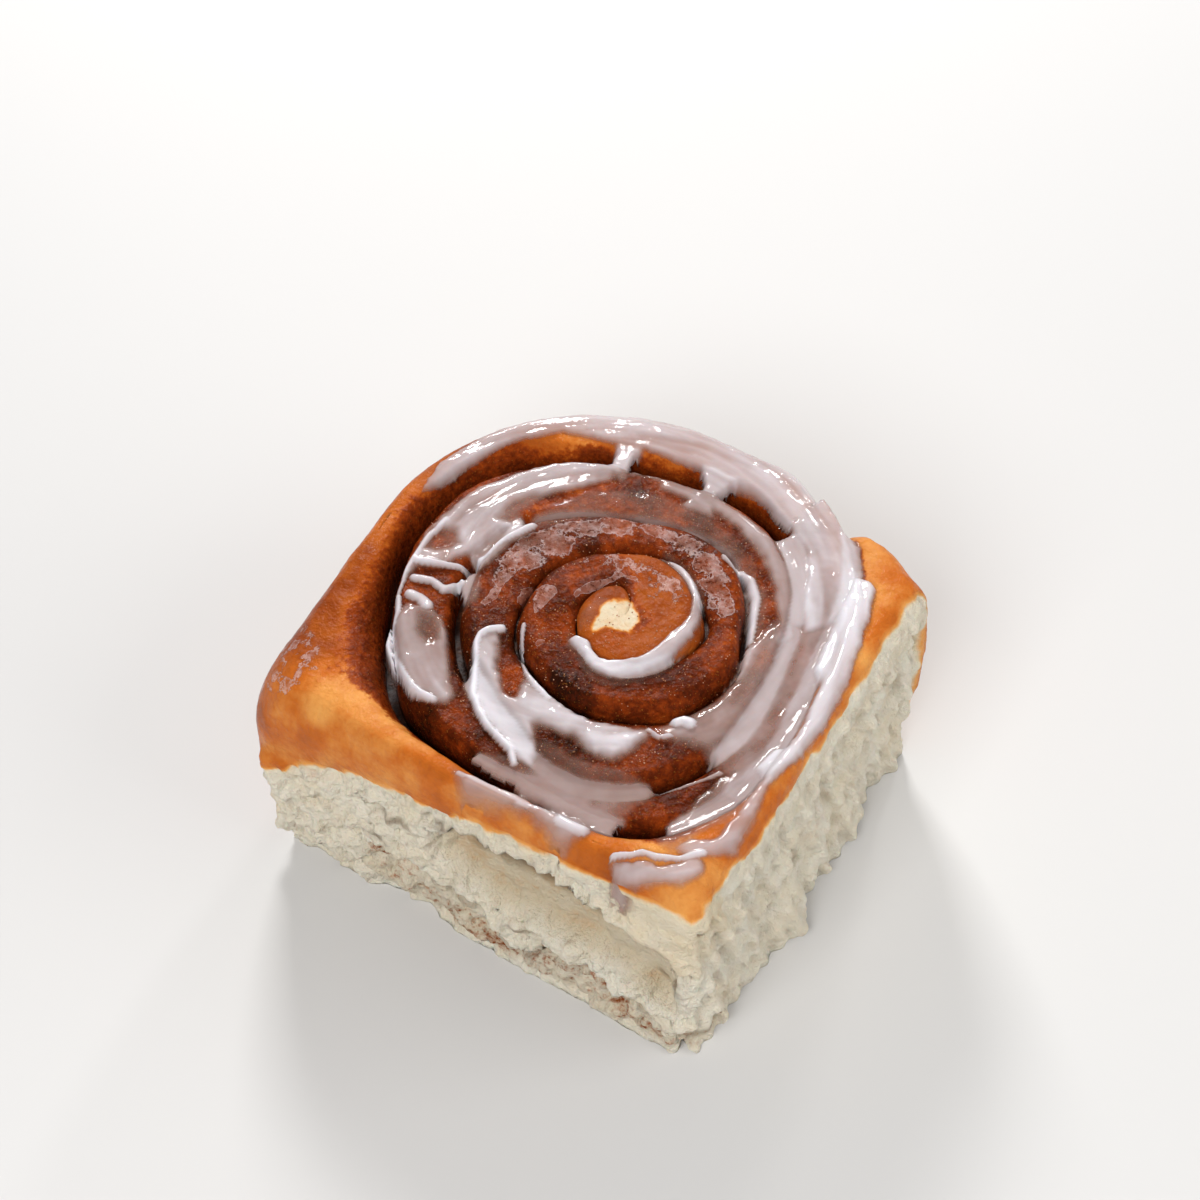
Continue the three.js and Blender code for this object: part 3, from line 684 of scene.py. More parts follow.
def wrap_coating(angles, share, grid, torn, hollow, first_side):
    """Colour masks of the wrap: how brown, spicy and torn, where glaze patches are painted pale as a
    highlight, and where shade is painted in the torn front's creases, pockets and hollow, which also tones
    its smear darker.
    """
    x, y, z = np.moveaxis(grid, -1, 0)
    spotty = rough(grid, 6, seed=71, layers=3)
    turned = direction(angles)[:, None]
    left_side = np.maximum(smooth(*LEFT_FROM, turned), 1 - smooth(*LEFT_TO, turned))
    crust = side_crust(spotty, z) + 0.12 * noise(grid, 17, seed=72) + LEFT_BROWNED * left_side
    crust = mix(crust, CRUMB_PALE + 0.08 * spotty + 0.14 * hollow, torn)
    full_share = np.ones_like(crust)
    full_share[:, :WALL_ROWS + 1] = 0
    full_share[:, WALL_ROWS + 1:first_side] = share
    inner = 1 - smooth(0.1, 0.35 + 0.3 * left_side, full_share + 0.16 * spotty)
    at_front = torn * (y < FRONT_Y)
    edge = torn_edges(x)[2]
    smear = 0.45 + 0.55 * smooth(-0.2, 0.3, rough(grid * SMEAR_SQUASH, 5, seed=75, layers=3))
    smear = smear * smooth(*SMEAR_START, x) * window((1, 4), (edge - 1, edge), z) * at_front
    skin = smooth(*SKIN_COLOUR_X, x) * smooth(*SKIN_COLOUR_Z, z + SKIN_LEAN * x) * at_front
    spice = inner * (0.56 + 0.06 * left_side) + 0.24 * smear
    crust = crust + 0.12 * skin + 0.1 * smear
    # Pale glaze patches on the left crust, painted as a highlight, and smooth there
    film = 0.62 * smooth(-3, 3, depth_inside(x, y, GLOSSY_CRUST_PAINTED_HIGHLIGHT))
    # Painted shade in the creases, pockets and hollow of the torn front; the smear's share only tones it
    # darker
    painted_shade_and_tone = np.maximum(front_shade(x, z), np.maximum(0.3 * smear, 0.28 * hollow)) * at_front
    return {"crust": crust, "spice": spice, "film": film, "crumb": torn, "painted_shade_and_tone": painted_shade_and_tone}


class Shader:
    """Small helper that adds and joins the nodes of one material."""

    def __init__(self, name):
        self.material = bpy.data.materials.new(name)
        self.material.use_nodes = True
        self.tree = self.material.node_tree
        self.surface = self.tree.nodes["Principled BSDF"]
        self.place = self.node("ShaderNodeTexCoord").outputs["Object"]

    def node(self, kind, **settings):
        node = self.tree.nodes.new(kind)
        for key, value in settings.items():
            setattr(node, key, value)
        return node

    def put(self, socket, value):
        if isinstance(value, bpy.types.NodeSocket):
            self.tree.links.new(value, socket)
        else:
            socket.default_value = value

    def attribute(self, name):
        return self.node("ShaderNodeAttribute", attribute_name=name).outputs["Fac"]

    def noise(self, size, detail=3, roughness=0.55):
        """Noise with lumps of a size in millimetres."""
        texture = self.node("ShaderNodeTexNoise")
        self.put(texture.inputs["Vector"], self.place)
        texture.inputs["Scale"].default_value = 1 / (size * MM)
        texture.inputs["Detail"].default_value = detail
        texture.inputs["Roughness"].default_value = roughness
        return texture.outputs[0]

    def math(self, operation, *values):
        node = self.node("ShaderNodeMath", operation=operation)
        for socket, value in zip(node.inputs, values):
            self.put(socket, value)
        return node.outputs[0]

    def sway(self, value, texture, amount):
        """Value moved up and down by a texture round its middle."""
        return self.math("MULTIPLY_ADD", self.math("SUBTRACT", texture, 0.5), amount, value)

    def step(self, value, low, high):
        node = self.node("ShaderNodeMapRange", interpolation_type="SMOOTHSTEP")
        for socket, number in zip(node.inputs, (value, low, high)):
            self.put(socket, number)
        return node.outputs[0]

    def blend(self, share, a, b):
        """Colour between two colours."""
        node = self.node("ShaderNodeMix", data_type="RGBA")
        self.put(node.inputs[0], share)
        self.put(node.inputs[6], a)
        self.put(node.inputs[7], b)
        return node.outputs[2]

    def mixed(self, share, a, b):
        """Number between two numbers."""
        node = self.node("ShaderNodeMix", data_type="FLOAT")
        self.put(node.inputs[0], share)
        self.put(node.inputs[2], a)
        self.put(node.inputs[3], b)
        return node.outputs[0]

    def ramp(self, value, *stops):
        """Colour by value, from stops of a place and an everyday colour."""
        node = self.node("ShaderNodeValToRGB")
        self.put(node.inputs[0], value)
        elements = node.color_ramp.elements
        while len(elements) < len(stops):
            elements.new(0.5)
        for element, (at, colour) in zip(elements, stops):
            element.position = at
            element.color = paint(*colour)
        return node.outputs[0]

    def bump(self, height, depth, under=None):
        """Bump of a depth in millimetres."""
        node = self.node("ShaderNodeBump")
        node.inputs["Distance"].default_value = depth * MM
        self.put(node.inputs["Height"], height)
        if under is not None:
            self.put(node.inputs["Normal"], under)
        return node.outputs[0]

    def finish(self, colour, roughness, normal, **constants):
        self.put(self.surface.inputs["Base Color"], colour)
        self.put(self.surface.inputs["Roughness"], roughness)
        self.put(self.surface.inputs["Normal"], normal)
        for key, value in constants.items():
            self.surface.inputs[key.replace("_", " ")].default_value = value
        return self.material


def paint(red, green, blue):
    """Linear colour of an everyday 0 to 255 one."""
    values = [c / 255 for c in (red, green, blue)]
    return (*(c / 12.92 if c < 0.04045 else ((c + 0.055) / 1.055) ** 2.4 for c in values), 1)


# Colours of the dough from pale crumb to dark crust, of its spice, and of the film on it, partly a painted
# sheen
DOUGH_COLOURS = ((0.05, (238, 231, 214)), (0.28, (232, 216, 186)), (0.45, (222, 156, 82)),
                 (0.65, (188, 100, 34)), (0.85, (138, 62, 20)), (1.0, (90, 40, 16)))
SPICE_COLOURS = ((0.2, (176, 84, 22)), (0.45, (130, 52, 14)), (0.7, (86, 30, 8)), (1.0, (38, 14, 5)))
FILM_AND_SHEEN_COLOURS = ((0.3, (112, 60, 42)), (0.5, (150, 104, 90)), (0.72, (200, 176, 172)))
# Colour of painted shade, also used to tone darker; of golden flecks; and of the film's rim, partly a painted
# highlight
PAINTED_SHADE_AND_TONE_COLOUR, FLECK_COLOUR, FILM_RIM_AND_HIGHLIGHT_COLOUR = (106, 82, 52), (206, 128, 54), (224, 206, 204)
FLESH_DEPTH = 0.0015


def dough_material():
    shader = Shader("dough")
    fine, coarse, grain = shader.noise(1.1, 4), shader.noise(7, 3), shader.noise(0.45, 2, 0.6)
    crust = shader.attribute("crust")
    crumb = shader.attribute("crumb")
    browned = shader.sway(shader.sway(crust, coarse, 0.25), fine, 0.12)
    spice = shader.sway(shader.sway(shader.attribute("spice"), fine, 0.7), coarse, 0.4)
    stained = shader.step(spice, 0.15, 0.4)
    colour = shader.blend(stained, shader.ramp(browned, *DOUGH_COLOURS),
                          shader.ramp(shader.sway(spice, grain, 0.3), *SPICE_COLOURS))
    # Painted shade from its mask, which also tones the smear and the bun's pale patch darker
    painted_shade_and_tone = shader.math("MULTIPLY", shader.attribute("painted_shade_and_tone"), 0.85)
    colour = shader.blend(painted_shade_and_tone, colour, paint(*PAINTED_SHADE_AND_TONE_COLOUR))
    flecks = shader.math("MULTIPLY", shader.step(grain, 0.62, 0.7), shader.math("MULTIPLY", stained, 0.25))
    colour = shader.blend(flecks, colour, paint(*FLECK_COLOUR))
    # Glaze film: pale where it covers, partly a painted sheen, with a lighter rim that is partly a painted
    # highlight
    film = shader.sway(shader.attribute("film"), shader.noise(3.2, 5, 0.65), 1.7)
    holes = shader.step(shader.noise(0.8, 2), 0.6, 0.65)
    whole = shader.math("MULTIPLY_ADD", holes, -0.9, 1.0)
    covered = shader.math("MULTIPLY", shader.step(film, 0.6, 0.65), whole)
    rim = shader.math("SUBTRACT", covered, shader.step(film, 0.66, 0.76))
    film_and_sheen_colour = shader.blend(shader.math("MULTIPLY", rim, 0.6),
                               shader.ramp(shader.noise(3, 4, 0.6), *FILM_AND_SHEEN_COLOURS), paint(*FILM_RIM_AND_HIGHLIGHT_COLOUR))
    colour = shader.blend(shader.math("MULTIPLY", covered, 0.5), colour, film_and_sheen_colour)
    rough_dough = shader.mixed(crumb, shader.mixed(stained, 0.19, 0.22), 0.9)
    roughness = shader.mixed(covered, shader.sway(rough_dough, fine, 0.25), 0.1)
    height = shader.math("ADD", fine, shader.math("MULTIPLY", grain, 0.35))
    height = shader.math("MULTIPLY_ADD", shader.noise(2.6, 2), 1.4, height)
    height = shader.math("MULTIPLY_ADD", covered, 0.5, height)
    pitted = shader.math("MULTIPLY", crumb, shader.noise(0.8, 4, 0.7))
    height = shader.math("MULTIPLY_ADD", pitted, 3.0, height)
    return shader.finish(colour, roughness, shader.bump(height, 0.35), Subsurface_Weight=0.08,
                         Subsurface_Scale=FLESH_DEPTH, Specular_IOR_Level=0.06)


# Filling: a sheet between the turns, sunk into both walls of the gap
FILLING_START, FILLING_END, FILLING_STEP = 110, 1466, 0.7
FILLING_OVERLAP, FILLING_FOOT, FILLING_CRUMBLE = 0.35, 0.4, 0.55
FILLING_ACROSS, FILLING_DOWN = 7, 5
FILLING_COLOURS = ((0.2, (38, 20, 14)), (0.5, (66, 33, 20)), (0.75, (108, 58, 30)), (0.95, (150, 92, 50)))


def build_filling():
    angles = steps_along(FILLING_START, FILLING_END, lambda angle: np.full_like(angle, FILLING_STEP))
    spots = seam_at(angles)
    along = unit(np.gradient(spots, axis=0))
    normal = np.stack([along[:, 1], -along[:, 0]], -1)
    half = gap_at(angles) / 2 + FILLING_OVERLAP
    top = seam_height(angles) - value_at(FILLING_DEPTH, angles)
    across = np.linspace(-1, 1, FILLING_ACROSS)
    crown = spots[:, None] + normal[:, None] * (half[:, None] * across)[..., None]
    crown = np.concatenate([crown, np.broadcast_to(top[:, None, None], (*crown.shape[:2], 1))], axis=-1)
    crown[..., 2] += FILLING_CRUMBLE * rough(crown, 1.8, seed=81, layers=3)
    low = top[:, None] + (FILLING_FOOT - top)[:, None] * np.linspace(0, 1, FILLING_DOWN + 1)[1:]
    outer = np.concatenate([np.repeat(crown[:, -1:, :2], FILLING_DOWN, 1), low[..., None]], axis=-1)
    inner = np.concatenate([np.repeat(crown[:, :1, :2], FILLING_DOWN, 1), low[:, ::-1, None]], axis=-1)
    grid = np.concatenate([inner, crown, outer], axis=1)
    return solid_strip("cinnamon_filling_sheet", grid, {}, True, True)


def filling_material():
    shader = Shader("cinnamon_filling")
    fine, coarse = shader.noise(0.9, 4, 0.65), shader.noise(4, 3)
    colour = shader.ramp(shader.sway(coarse, fine, 0.8), *FILLING_COLOURS)
    return shader.finish(colour, shader.sway(0.38, fine, 0.4), shader.bump(fine, 0.5), Specular_IOR_Level=0.6)


# Icing in millimetres: its cells, the depth that keeps a gap open, and how far it fills grooves and falls off
ICING_CELL = 0.36
ICING_REACH = 52.0
OPEN_DEPTH, FILL_DEPTH, EDGE_FALL = 3.5, 2.6, 1.4
CROWN_FLOOR, SHOULDER_FLOOR, GAP_SINK = 42, 30, 5
MASK_LEVEL, NO_AMOUNT, FAR = -0.5, 1e-3, 9.0
RIM_BAND, PIT_DEPTH, THICK_MOST = 5, 3, 0.45
SHELL_LAP, SHELL_DEPTH = 0.1, 0.5
RAY_FROM = 0.08

# In cells: reach of the icing over narrow gaps, bridges and grooves, and how often fields are blurred
NARROW_REACH, BRIDGE_REACH, LEVEL_REACH = 2, 6, 11
LEVEL_BLUR, OPEN_BLUR, PIT_BLUR, OPEN_LEVEL = 16, 8, 6, 0.4

# Ragged lower edge of the icing on the sides, and the bare tip of the wrap's tail
DRIP_BAND, DRIP_EDGE, DRIP_RAGGED, DRIP_SLOPE = 9, 45, 3, 0.35
TAIL_TIP, TAIL_BARE, TAIL_RIM = (28.8, 41.3), 7, 1.2

# Swells of the icing: slow and fine wobble of its edges, grain, streaks and the thickness seen at a thread
WOBBLE, FINE_WOBBLE, GRAIN, STREAKED, THREAD_THICK = 0.4, 0.14, 0.05, 0.45, 0.4
FILLED_FROM = 0.25

# Boxes in plan where gaps stay open: x and y from and to, and how far the box sways sideways
OPEN_BOXES = [(-60, 20.5, 10, 60, 0), (-60, -28, -60, 60, 0), (26.5, 60, -60, -42, 0),
              (-60, -2, -60, -28, 2)]

# Pools of icing by piece: thickness, edge width, crispness, fill of grooves and plan points
POOLS = {
    "icing_coat": [
        # Wrap, behind
        (1.1, 1.6, 1, 0.1,
         [(-44.5, 4), (-41.5, 9.5), (-39.8, 15.5), (-37, 22), (-34, 27), (-28.5, 31.8), (-18, 35), (-9, 37),
          (0, 37.6), (5, 37.2), (10, 37.8), (14, 36.6), (18.5, 34.4), (22, 33), (26.5, 30), (29, 25),
          (32, 18), (35, 12), (38, 16), (40, 22), (38, 29), (33, 35.5), (30, 39), (24, 43), (15, 48),
          (4, 49), (-8, 48), (-18, 45), (-28, 39.5), (-36, 32), (-42, 23), (-45, 13)]),
        # Outer coil, left
        (1, 1.6, 0.6, 0.4,
         [(-34.8, -17.7), (-35.3, -14), (-36.3, -8), (-37.3, -3), (-36.7, 2.4), (-34.7, 10.5), (-31, 16.9),
          (-25.5, 23.5), (-19, 29.7), (-13.9, 30.7), (-12, 28), (-14, 25), (-16.8, 21.5), (-20.5, 17.5),
          (-23.3, 12.8), (-24, 9.5), (-18.8, 6.1), (-20.8, 0.5), (-21.8, -4.7), (-22.9, -6.9),
          (-27.2, -4.1), (-29.7, -8.2), (-34.1, -10.5), (-34.4, -14)]),
        # Outer coil, behind
        (0.7, 1.6, 0.4, 0.4,
         [(-12, 30.5), (-5.6, 32), (3, 32.2), (8, 32.2), (14.4, 30.8), (20.8, 28.4), (26, 24.2), (29, 20),
          (31.5, 15), (34.1, 11.4), (33.5, 6.5), (31.5, 7.2), (30.3, 11.5), (25.9, 18.4), (20.5, 23.4),
          (13.4, 27.2), (8.8, 28.3), (1.6, 28.5), (-4.5, 28.3), (-5.5, 30), (-9.5, 29.8), (-11.2, 27.5)]),
        # Closed gap, back right
        (0.6, 2, 0, 1,
         [(19.7, 28.8), (23.7, 25), (26.5, 21), (29, 16), (31.9, 12), (34.6, 14), (36.7, 17), (39, 18.5),
          (40.5, 22.3), (39, 28.6), (34, 36.9), (28.5, 41), (24.2, 37), (21.5, 33)]),
        # Thin film on the outer coil, behind
        (0.15, 2, 0, 0.25,
         [(-20.5, 5.5), (-15.9, 9.9), (-11.9, 13.8), (-8.5, 16.3), (-4, 18.2), (0.6, 19), (5.2, 19.8),
          (10.5, 20.3), (15.4, 19), (19.6, 16.3), (23.5, 12), (27.7, 4), (30.5, 5), (28.2, 11.3),
          (24.6, 17.1), (20.2, 21.9), (13.1, 25.6), (6.6, 27.9), (-0.4, 27.9), (-5.9, 27.4), (-11.1, 25),
          (-12.6, 23.8), (-16.6, 21), (-19.6, 16.2), (-22.8, 11.8)]),
        # Milky pool, right
        (0.5, 3, 0, 0.8,
         [(27.4, 4.6), (28.2, 1.2), (29.6, -3.5), (28.8, -9.1), (27.2, -13.6), (25, -17.1), (22.8, -20.5),
          (25, -21.5), (29, -20.2), (32.7, -20), (34.2, -20.5), (38, -21.5), (41.8, -20), (44.8, -22.3),
          (45.6, -21.2), (45.4, -15.9), (45.9, -12), (45.7, -5.9), (44.2, 0), (44.2, 3.2), (43, 8.8),
          (41, 14.6), (38.2, 19.5), (36.4, 19), (33.2, 18.4), (33, 14), (33.5, 11.2), (31.9, 9.2),
          (32, 6.3), (30, 4)]),
        # Grooves that the pool fills
        (0.5, 2, 0, 0.8, [(28, 2), (36, 2), (38, 14), (30, 14)]),
        (0.5, 2, 0, 1, [(35, 12), (43, 12), (43, 23), (35, 23)]),
        (0.5, 2, 0, 1, [(38, -26), (46, -26), (46, -15), (38, -15)]),
        # Thick streak along the right edge
        (1.6, 1.5, 0.9, 0.4,
         [(40.2, 29.2), (36.9, 29.2), (37.9, 21.4), (39.4, 12.5), (40.5, 6), (43.2, 3.2), (43.5, -0.8),
          (44.9, -5.9), (44.3, -12.4), (42.2, -12.3), (41.4, -17.6), (43.9, -19.6), (45.2, -24.3),
          (46.4, -19.5), (47.1, -15.9), (47.6, -11.7), (48, -6.6), (48.1, 0.1), (47.2, 8.1), (45.7, 14.2),
          (43.8, 21.5), (42, 28)]),
        # Its end at the front right corner
        (0.95, 1.5, 0.6, 0.3,
         [(37.4, -40.7), (39.5, -37.8), (43.3, -35.4), (44, -28.9), (43.8, -22.9), (43.3, -19), (45.4, -18),
          (46.5, -24.2), (47.3, -29.5), (47.4, -34), (47.6, -35.6), (46, -37.4), (44.6, -39), (42.6, -40.4),
          (40.6, -41.2)]),
        # Film inside that corner
        (0.35, 1.8, 0.2, 0.5,
         [(33.3, -35.6), (34.6, -40.8), (38.1, -41.6), (40.4, -36.9), (42.4, -32.3), (44.7, -28.5),
          (45.1, -23.2), (42, -19), (39.2, -19.6), (37.1, -21.7), (36.7, -25.5), (35.4, -30.8)]),
        # Patch on the front band, at the corner
        (1.15, 1.6, 0.4, 0,
         [(29.5, -47.5), (32, -46.6), (34.8, -44.9), (37.7, -45.3), (40, -42.8), (42.6, -40), (44.4, -40.5),
          (44.6, -42.2), (42.6, -45.6), (37.7, -47.4), (34.1, -48.9), (31.2, -49)]),
        # Stream across the coils in front
        (1.05, 2, 0.2, 1,
         [(-15.3, -18.8), (-12.8, -16.8), (-10.2, -19.8), (-7.7, -24), (-4.2, -28), (-1.2, -27.9),
          (-2.4, -24.3), (-2.6, -22), (3.1, -24.3), (8.3, -24.7), (13.5, -24.7), (18, -23), (22.4, -20.8),
          (21.8, -25.5), (20.5, -29.3), (17.8, -30.9), (14.4, -30.8), (11.5, -29.8), (6.6, -30.5),
          (4.2, -31), (5, -32.6), (6.8, -34.2), (7.7, -37.6), (4.9, -37.9), (1.2, -36.3), (-1.9, -35),
          (-6, -33.1), (-11.3, -29.5), (-13.4, -25.6), (-14.2, -23)]),
        # Thin film in front of the stream
        (0.2, 2.4, 0, 0.9,
         [(4.4, -32.8), (9.5, -33), (16.5, -32.1), (22.5, -31), (29, -29.7), (29, -33), (27.3, -35.5),
          (27, -38.3), (27.5, -42.6), (25, -44.6), (18.1, -43.9), (12.4, -43.2), (7.6, -42.5), (3.4, -42.5),
          (-3, -41.5), (-1.8, -39), (3.6, -37.5), (6.5, -36.5)]),
        # Smear on the front band
        (0.85, 2.4, 0, 0,
         [(-3.4, -45.4), (0.3, -43.8), (6.4, -43.9), (11.8, -43.9), (15.7, -43), (20.4, -43), (24.1, -44.2),
          (22.8, -46.8), (20, -48.8), (17.9, -47.3), (15.4, -46.9), (10.6, -46.6), (5.4, -47.8),
          (0.9, -48.6), (-0.8, -47.9)]),
        # Outer coil, left, in front
        (0.85, 1.6, 0.5, 0.3,
         [(-30.3, -19.2), (-31.4, -23.6), (-29.9, -27.4), (-26.8, -30.3), (-23.8, -32.4), (-20.3, -34.6),
          (-17.8, -35.2), (-14.8, -35.1), (-11.8, -34.4), (-12, -31.7), (-14, -30), (-16, -27.7),
          (-17.8, -24.7), (-20, -21.4), (-22.6, -19), (-26.7, -18)]),
        # Thick end of the stream
        (1.5, 2.2, 0.2, 0.6,
         [(10.4, -26.6), (14.8, -26.2), (19.1, -23.1), (22.2, -20.6), (22.6, -23), (21.4, -27), (20, -29.8),
          (16.6, -30.9), (13.4, -29.8)]),
        # Film beside the left threads
        (0.4, 1.5, 0, 0.6,
         [(-25.6, -10), (-23.9, -5.9), (-21.2, -9), (-19.2, -13.4), (-20.6, -16), (-23.4, -13.5)])],
    "icing_centre_ring": [
        # Ring round the bun
        (1.2, 0.9, 1, 1,
         [(0.2, -13.5), (1.1, -11.6), (3.7, -11.8), (5.6, -13.4), (7.7, -14.1), (10.7, -13.3), (14, -10.8),
          (15.2, -7.1), (15.8, -3.2), (16.8, 0), (16.6, 2.5), (15.6, 5.5), (12.5, 8.8), (10, 10.4),
          (5, 11.3), (-0.5, 10.1), (-0.3, 10.9), (5, 12.2), (10.5, 12), (13.9, 9.8), (16.8, 7.2),
          (18.5, 4.6), (19.1, 1.5), (19.5, -1.4), (18.8, -4.7), (18.2, -9), (15.5, -13), (13.7, -15.2),
          (10.7, -16.8), (7.7, -16.8), (5, -15.4), (2.6, -14.2)]),
        # Film beside the ring
        (0.13, 1, 0, 0,
         [(-1.2, -11), (0.2, -14.2), (5.2, -16.8), (8.5, -18.8), (12.3, -18), (14.6, -16.4), (18.8, -11),
          (19.5, -4.1), (19.9, 1.5), (17.2, 8.2), (14, 11.4), (7.6, 13.6), (4.2, 14), (5.7, 10.4),
          (8.4, 10.4), (11.5, 8.5), (14.3, 7.1), (16.6, 2.9), (17.4, -1.4), (16.5, -6.7), (14.5, -11.4),
          (9.8, -13.9), (6, -13.9), (4.8, -12.6), (2.3, -11.6)]),
        # Film on the bun
        (0.14, 0.8, 0, 0,
         [(0.9, -10.9), (-0.5, -7.9), (0, -4.3), (1, -2.3), (2.9, -1.6), (2.1, -4), (2.8, -7.8),
          (2.2, -9.2)])]
}

# Necks of icing across the gap behind the coils: plan points
NECKS = [
    [(-17.5, 26), (-10.5, 26), (-12, 30), (-12.8, 33.5), (-12, 39), (-20.5, 38), (-17.4, 33.5),
     (-16.6, 30)],
    [(0.5, 27), (8, 27), (6.4, 31), (5.8, 34), (8, 39.5), (-2, 39.5), (1.4, 34.5), (2, 31)],
]
NECK_POOL = (0.7, 1.6, 0.3, 1.0)
POOLS["icing_coat"] += [(*NECK_POOL, outline) for outline in NECKS]

# Places where the icing thins out to this share of its thickness
THIN_PLACES = [
    (0.12, [(-36.5, -2), (-32.5, 0), (-30, -2.3), (-32.4, -5.7), (-35, -7)]),
    (0.1, [(-27, -3), (-26.3, 0.1), (-25.2, 4), (-24.1, 5.2), (-23.3, 1), (-24.3, -2.9), (-25.5, -4.5)]),
    (0.35, [(-27, 6), (-27, 11), (-24, 15), (-20.5, 17.5), (-20.5, 14), (-22, 11), (-23.5, 6)]),
    (0.3, [(-27.8, -19.4), (-25.9, -23.5), (-22.4, -24.8), (-20.9, -23.1), (-24.3, -19.2)]),
    (0.3, [(-14, 27), (-12, 24), (-8, 24.5), (-5, 27), (-9, 27.5)]),
]

# Raised threads, rims and drips of the coat: half width, thickness and plan points
THREADS = [
    (0.65, 1.1, [(-34.7, -10.1), (-29.1, -8), (-25.6, -6.5), (-23.4, -3), (-22.3, 0.9), (-19.2, 6.5)]),
    (0.6, 0.9, [(-35.3, 0.8), (-35.8, -4), (-35.6, -8.3), (-35.5, -12.2), (-34.3, -15.3), (-33.5, -18.7)]),
    (0.7, 1.3,
     [(-33, -19), (-31.4, -21.5), (-31, -23.8), (-29.6, -27.3), (-26.4, -30.2), (-23.4, -32.1),
      (-20.1, -34.2), (-17.7, -34.8), (-14.8, -34.7)]),
    (0.9, 1.1, [(-33, -13.6), (-29.7, -12.5), (-26.6, -13.1), (-24.9, -10.2)]),
    (1.1, 1.1, [(-31.5, -17.1), (-29.3, -17), (-27.2, -17.6)]),
    (0.7, 1.4,
     [(-11.5, -16.4), (-13.5, -18), (-14.3, -20), (-13.8, -22), (-12.2, -24.5), (-10.3, -28), (-9.1, -30.3),
      (-6.4, -32.6), (-3.8, -34.3), (-0.6, -35.4), (2.7, -36.6), (4.8, -38.6)]),
    (0.6, 0.9, [(-8.2, -14.6), (-7.2, -16.8), (-5.7, -19.2), (-2.9, -22.1), (0.3, -23.9), (3.5, -24.9)]),
    (1.1, 1.5, [(25.3, -17.4), (26.3, -16.5), (27.6, -16.4)]),
    (0.45, 0.9, [(22, -21.2), (24.2, -21.6), (25.8, -20.4)]),
    (0.6, 1.2, [(29.8, -46.8), (32.5, -45.4), (34, -44), (36.5, -43.5), (40, -42), (43, -39.2)]),
    (0.45, 0.4, [(29, -30.2), (32, -27.5), (35, -23.8), (36.6, -21.5)]),
    (0.9, 0.9, [(15.3, 18.5), (17.6, 18.3), (21.2, 17.8), (24.1, 14.4), (25.7, 10.3), (27.5, 5.5)]),
    (1.3, 0.9, [(18.5, -45), (20.7, -45.2), (22.8, -45)]),
    (0.6, 0.5, [(-2.5, -45.2), (0.5, -44.8), (6, -44.8), (12, -45), (17, -44), (21.5, -45)]),
]
ICING_NODES = {"icing_coat": ["icing_back", "icing_right", "icing_rim", "icing_corner", "icing_stream",
                              "icing_front", "icing_left"],
               "icing_centre_ring": ["icing_centre"]}


def rounded(depth, edge, thickness, crisp=1.0):
    """Thickness over an edge: rounded where crisp, fading where not, and below nothing outside it."""
    inside = thickness * np.sqrt(np.maximum(1 - (1 - np.clip(depth / edge, 0, 1)) ** 2, 0))
    faded = thickness * smooth(-0.5 * edge, 0.7 * edge, depth)
    amount = mix(faded, np.where(depth > 0, inside, 0), crisp)
    return np.where(amount > NO_AMOUNT, amount, np.minimum(depth + 0.5 * edge * (crisp < 1), 0) * EDGE_FALL)


def spread(field, reach, pick):
    """Field with each cell set to the highest or lowest of the cells round it."""
    for axis in (0, 1):
        moved = [np.roll(field, k, axis=axis) for k in range(-reach, reach + 1)]
        field = pick(moved, axis=0)
    return field


def closed(field, reach):
    """Field with its narrow hollows filled."""
    return spread(spread(field, reach, np.max), reach, np.min)


def blurred(field, times):
    for _ in range(times):
        for axis in (0, 1):
            field = 0.5 * field + 0.25 * (np.roll(field, 1, axis) + np.roll(field, -1, axis))
    return field


def ray_heights(pieces, x, y):
    """Height of the dough under each plan point, below nothing where it is missed."""
    heights = np.full(x.shape, -1.0)
    down = Vector((0, 0, -1))
    for piece in pieces:
        mesh = piece.data
        points = np.empty(len(mesh.vertices) * 3, np.float32)
        mesh.vertices.foreach_get("co", points)
        faces = [tuple(p.vertices) for p in mesh.polygons]
        tree = BVHTree.FromPolygons(points.reshape(-1, 3).tolist(), faces)
        for i in np.ndindex(x.shape):
            start = Vector(((x[i] - PLAN_MIDDLE[0]) * MM, (y[i] - PLAN_MIDDLE[1]) * MM, RAY_FROM))
            hit = tree.ray_cast(start, down)[0]
            if hit is not None:
                heights[i] = max(heights[i], hit[2] / MM)
    return heights


def streaks(x, y):
    """Noise drawn out along the turns."""
    turned = np.arctan2(y, x)
    round_points = np.stack([12 * np.cos(turned), 12 * np.sin(turned), 2.2 * np.hypot(x, y)], -1)
    return rough(round_points, 4, seed=93, layers=3)


def open_places(x, y, ragged):
    """Where gaps stay open: the back, the left and two stretches of the front, but not under the necks."""
    bare = np.zeros(x.shape, bool)
    for x_from, x_to, y_from, y_to, sway in OPEN_BOXES:
        swayed = x + sway * ragged
        bare |= (swayed > x_from) & (swayed < x_to) & (y > y_from) & (y < y_to)
    for outline in NECKS:
        bare &= depth_inside(x, y, outline) < 0
    return bare


def thinned_share(x, y, wobble):
    """Share of its thickness that the icing keeps."""
    kept = np.ones_like(x)
    for share, outline in THIN_PLACES:
        kept = np.minimum(kept, mix(1, share, smooth(-1.2, 1.0, depth_inside(x, y, outline) + wobble)))
    return kept


